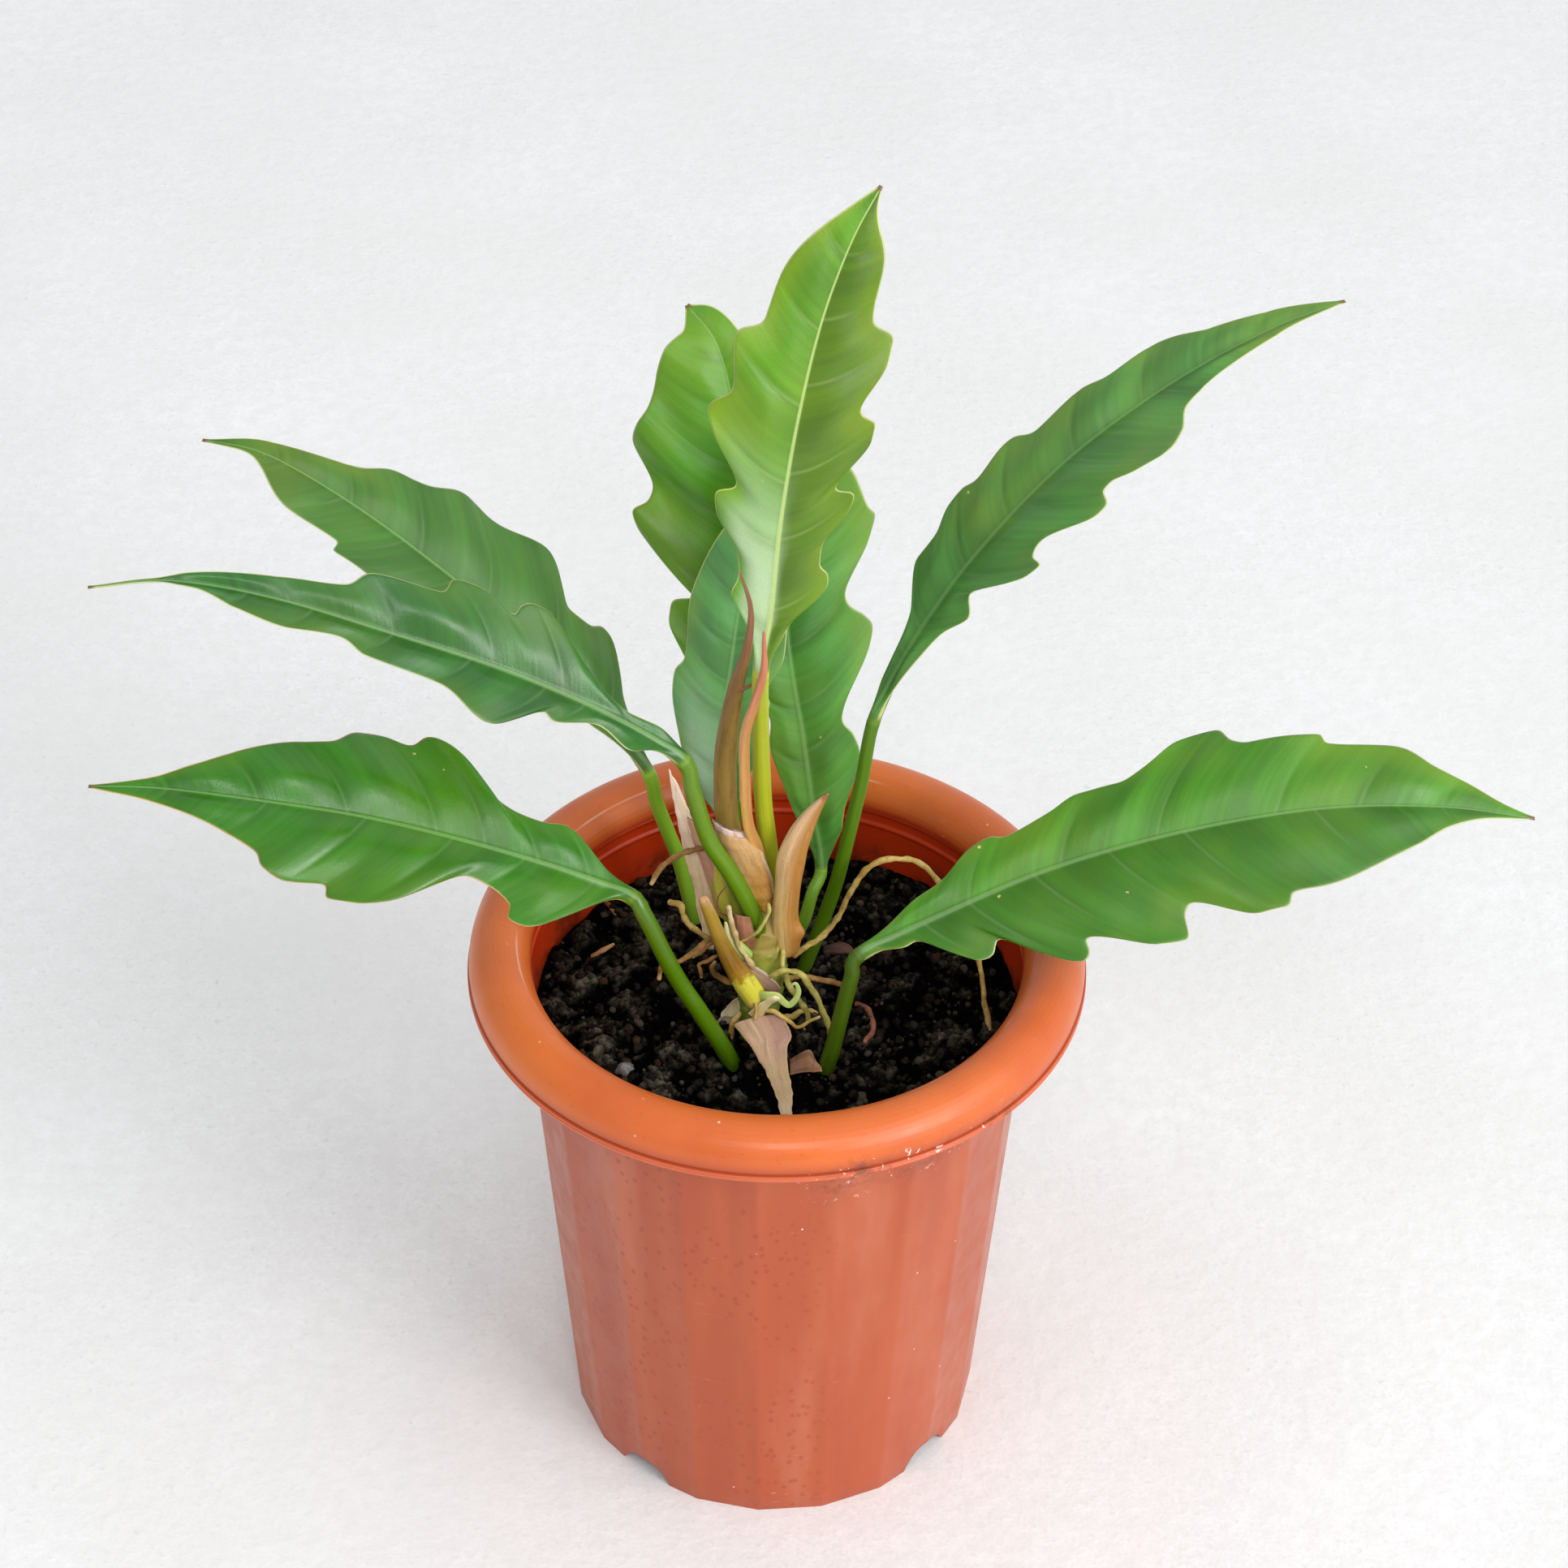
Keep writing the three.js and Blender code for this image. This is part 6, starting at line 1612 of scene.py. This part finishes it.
# %% [markdown]
# Small things lie on the soil: a chip of bark, two twigs and a pebble. The first three are
# strands too, flattened and given their own relief.

# %% Bark and twigs
UP = [0, 0, 1]
SCRAPS = {
    "bark_chip": dict(path=[[16, 29, 178], [22, 28, 179.4], [28, 26, 178.2]], width=[3, 5, 3], flat=0.6,
                      face=UP),
    "twig_left": dict(path=[[-65, 25, 177.2], [-61, 28, 177.8], [-57, 32, 177.2]],
                      width=[1.6, 1.8, 1.4], flat=1, face=UP),
    "twig_back": dict(path=[[-61, 53, 178.3], [-59, 50, 179], [-57, 46, 178.3]],
                      width=[1.6, 1.8, 1.4], flat=1, face=UP),
}


def crumpled(amount, seed):
    """Folds along and across a dry piece, lost where it is thin."""
    def relief(turn, at, half):
        across = drift(at + 4 * np.cos(turn), seed, 2.4)
        along = 0.7 * np.sin(7 * np.cos(turn) + 0.3 * at)
        return amount * (across + along) * ease(half, 0.2, 1.5)
    return relief


SCRAP_LOOKS = {
    "bark_chip": (dict(low=(66, 42, 34), high=(98, 64, 48)), "bark", 0.5),
    "twig_left": (dict(low=(150, 100, 58), high=(196, 150, 100)), "bark", 0.15),
    "twig_back": (dict(low=(140, 88, 48), high=(180, 128, 78)), "bark", 0.15),
}
for index, (node, (look, slot_name, fold_size)) in enumerate(SCRAP_LOOKS.items()):
    scrap = make_strand(node + "_dry", SCRAPS[node], 70, 36, crumpled(fold_size, 90 + index))
    settle(scrap, plant_finish(node + "_finish", gloss=0.65, **look), slot_name, node)

# %% Pebble
PEBBLE_SPOT, PEBBLE_RADIUS, PEBBLE_SQUASH = (-51, -33, 178), 3.4, (1.05, 0.88, 0.68)
PEBBLE_POLE = 0.06


def make_pebble():
    """A ball pressed to an oval, whose radius swells and shrinks in waves of two sizes."""
    down = np.linspace(PEBBLE_POLE, math.pi - PEBBLE_POLE, 34)
    polar, turn = np.meshgrid(down, np.linspace(0, 2 * math.pi, 48, endpoint=False), indexing="ij")
    way = np.stack([np.sin(polar) * np.cos(turn), np.sin(polar) * np.sin(turn), np.cos(polar)], -1)
    x, y, z = way[..., 0], way[..., 1], way[..., 2]
    lumps = 0.07 * np.sin(3.1 * x + 2 * z) + 0.05 * np.sin(7 * y + 4 * x)
    radius = PEBBLE_RADIUS * (1 + lumps)[..., None] * np.array(PEBBLE_SQUASH)
    return closed_skin("grey_pebble", np.array(PEBBLE_SPOT) + way * radius)


settle(make_pebble(), soil_finish("stone_grey", tone(92, 92, 92), tone(150, 148, 144)), "pebble", "pebble")

# %% [markdown]
# The stage is a pale floor that reaches past the camera's view, with the faint mottle of
# painted plaster. A plain white plane would look like paper, so several pale greys lie over
# one another and a low bump roughens it.

# %% Floor
FLOOR_REACH = 4000


def plaster_finish():
    """Near white, with soft clouds and fine pits that are thicker in some patches than in others."""
    f = Finish("pale_plaster", roughness=0.85, specular=0.2)
    place = f.place()
    colour = f.mix(f.ease(f.noise(6, place, 3, 0.6), 0.3, 0.7), tone(233, 232, 231), tone(239, 239, 239))
    patch = f.ease(f.noise(9, place, 3), 0.35, 0.65, 0.35, 1)
    pits = f.ease(f.noise(300, place, 3, 0.65), 0.54, 0.78)
    colour = f.mix(f.math("MULTIPLY", pits, patch), colour, tone(208, 207, 205))
    cloud = f.ease(f.noise(110, place, 3, 0.7), 0.35, 0.65, 0, 0.6)
    colour = f.mix(cloud, colour, tone(229, 228, 227))
    grain = f.ease(f.noise(560, place, 2, 0.6), 0.35, 0.65, 0, 0.6)
    colour = f.mix(f.math("MULTIPLY", grain, patch), colour, tone(227, 226, 225))
    f.set(Base_Color=colour)
    f.bump(f.noise(150, place, 3, 0.6), 1.2, 0.35)
    return f.material


def make_floor():
    """One square face on the ground."""
    reach = FLOOR_REACH * MM
    mesh = bpy.data.meshes.new("floor")
    corners = [(-reach, -reach, 0), (reach, -reach, 0), (reach, reach, 0), (-reach, reach, 0)]
    mesh.from_pydata(corners, [], [(0, 1, 2, 3)])
    floor = bpy.data.objects.new("floor", mesh)
    bpy.context.scene.collection.objects.link(floor)
    floor.data.materials.append(plaster_finish())


make_floor()
print("floor reaches", FLOOR_REACH, "mm each way")

# %% [markdown]
# Soft studio light: a large soft key and a window from the right, a panel over the camera
# that the waxy leaves mirror along their ribs, and a pale sky. A wide panel overhead and one
# at the side only lift the shadows, so no surface mirrors them. A picture of a room could
# light the scene too, but panels can be moved and dimmed one by one.

# %% Lights


def soft_panel(name, place, aim, size, power, colour, mirrored=True):
    """A square area light that looks at a point. One that isn't mirrored lights the scene, but
    doesn't show in glossy surfaces."""
    data = bpy.data.lights.new(name, "AREA")
    data.shape, data.size, data.energy, data.color = "SQUARE", size, power, colour
    light = bpy.data.objects.new(name, data)
    light.location = place
    light.rotation_euler = (Vector(aim) - Vector(place)).to_track_quat("-Z", "Y").to_euler()
    light.visible_camera = False
    light.visible_glossy = mirrored
    bpy.context.scene.collection.objects.link(light)


def pale_sky(dark, bright, towards):
    """A studio sky: bright on the side that the vector points to, and darker on the other side."""
    world = bpy.data.worlds.new("studio")
    bpy.context.scene.world = world
    world.use_nodes = True
    tree = world.node_tree
    sky = tree.nodes["Background"]
    sky.inputs["Color"].default_value = (0.94, 0.97, 1.0, 1)
    place = tree.nodes.new("ShaderNodeTexCoord")
    facing = tree.nodes.new("ShaderNodeVectorMath")
    facing.operation = "DOT_PRODUCT"
    facing.inputs[1].default_value = Vector(towards).normalized()
    ramp = tree.nodes.new("ShaderNodeMapRange")
    ramp.inputs["From Min"].default_value = -1
    ramp.inputs["To Min"].default_value, ramp.inputs["To Max"].default_value = dark, bright
    tree.links.new(place.outputs["Generated"], facing.inputs[0])
    tree.links.new(facing.outputs["Value"], ramp.inputs["Value"])
    tree.links.new(ramp.outputs[0], sky.inputs["Strength"])


soft_panel("key", (3.5, -2.0, 3.4), (0, 0, 0.25), 3.8, 84, (1.0, 0.98, 0.95))
soft_panel("side", (-1.9, -1.8, 1.3), (-0.2, 0, 0.1), 1.6, 9, (0.94, 1.0, 1.0), mirrored=False)
soft_panel("sheen", (0.1, -2.2, 2.3), (0, 0, 0.25), 0.9, 18, (1.0, 1.0, 1.0))
soft_panel("window", (3.8, -3.8, 2.5), (0, 0, 0.3), 2.8, 154, (1.0, 1.0, 1.0))
soft_panel("fill", (-0.8, 0, 3.0), (0, 0, 0.25), 3.0, 9, (1.0, 1.0, 1.0), mirrored=False)
pale_sky(0.34, 0.92, (0.8, 0.5, 0.15))
bpy.context.scene.view_settings.view_transform = "Standard"
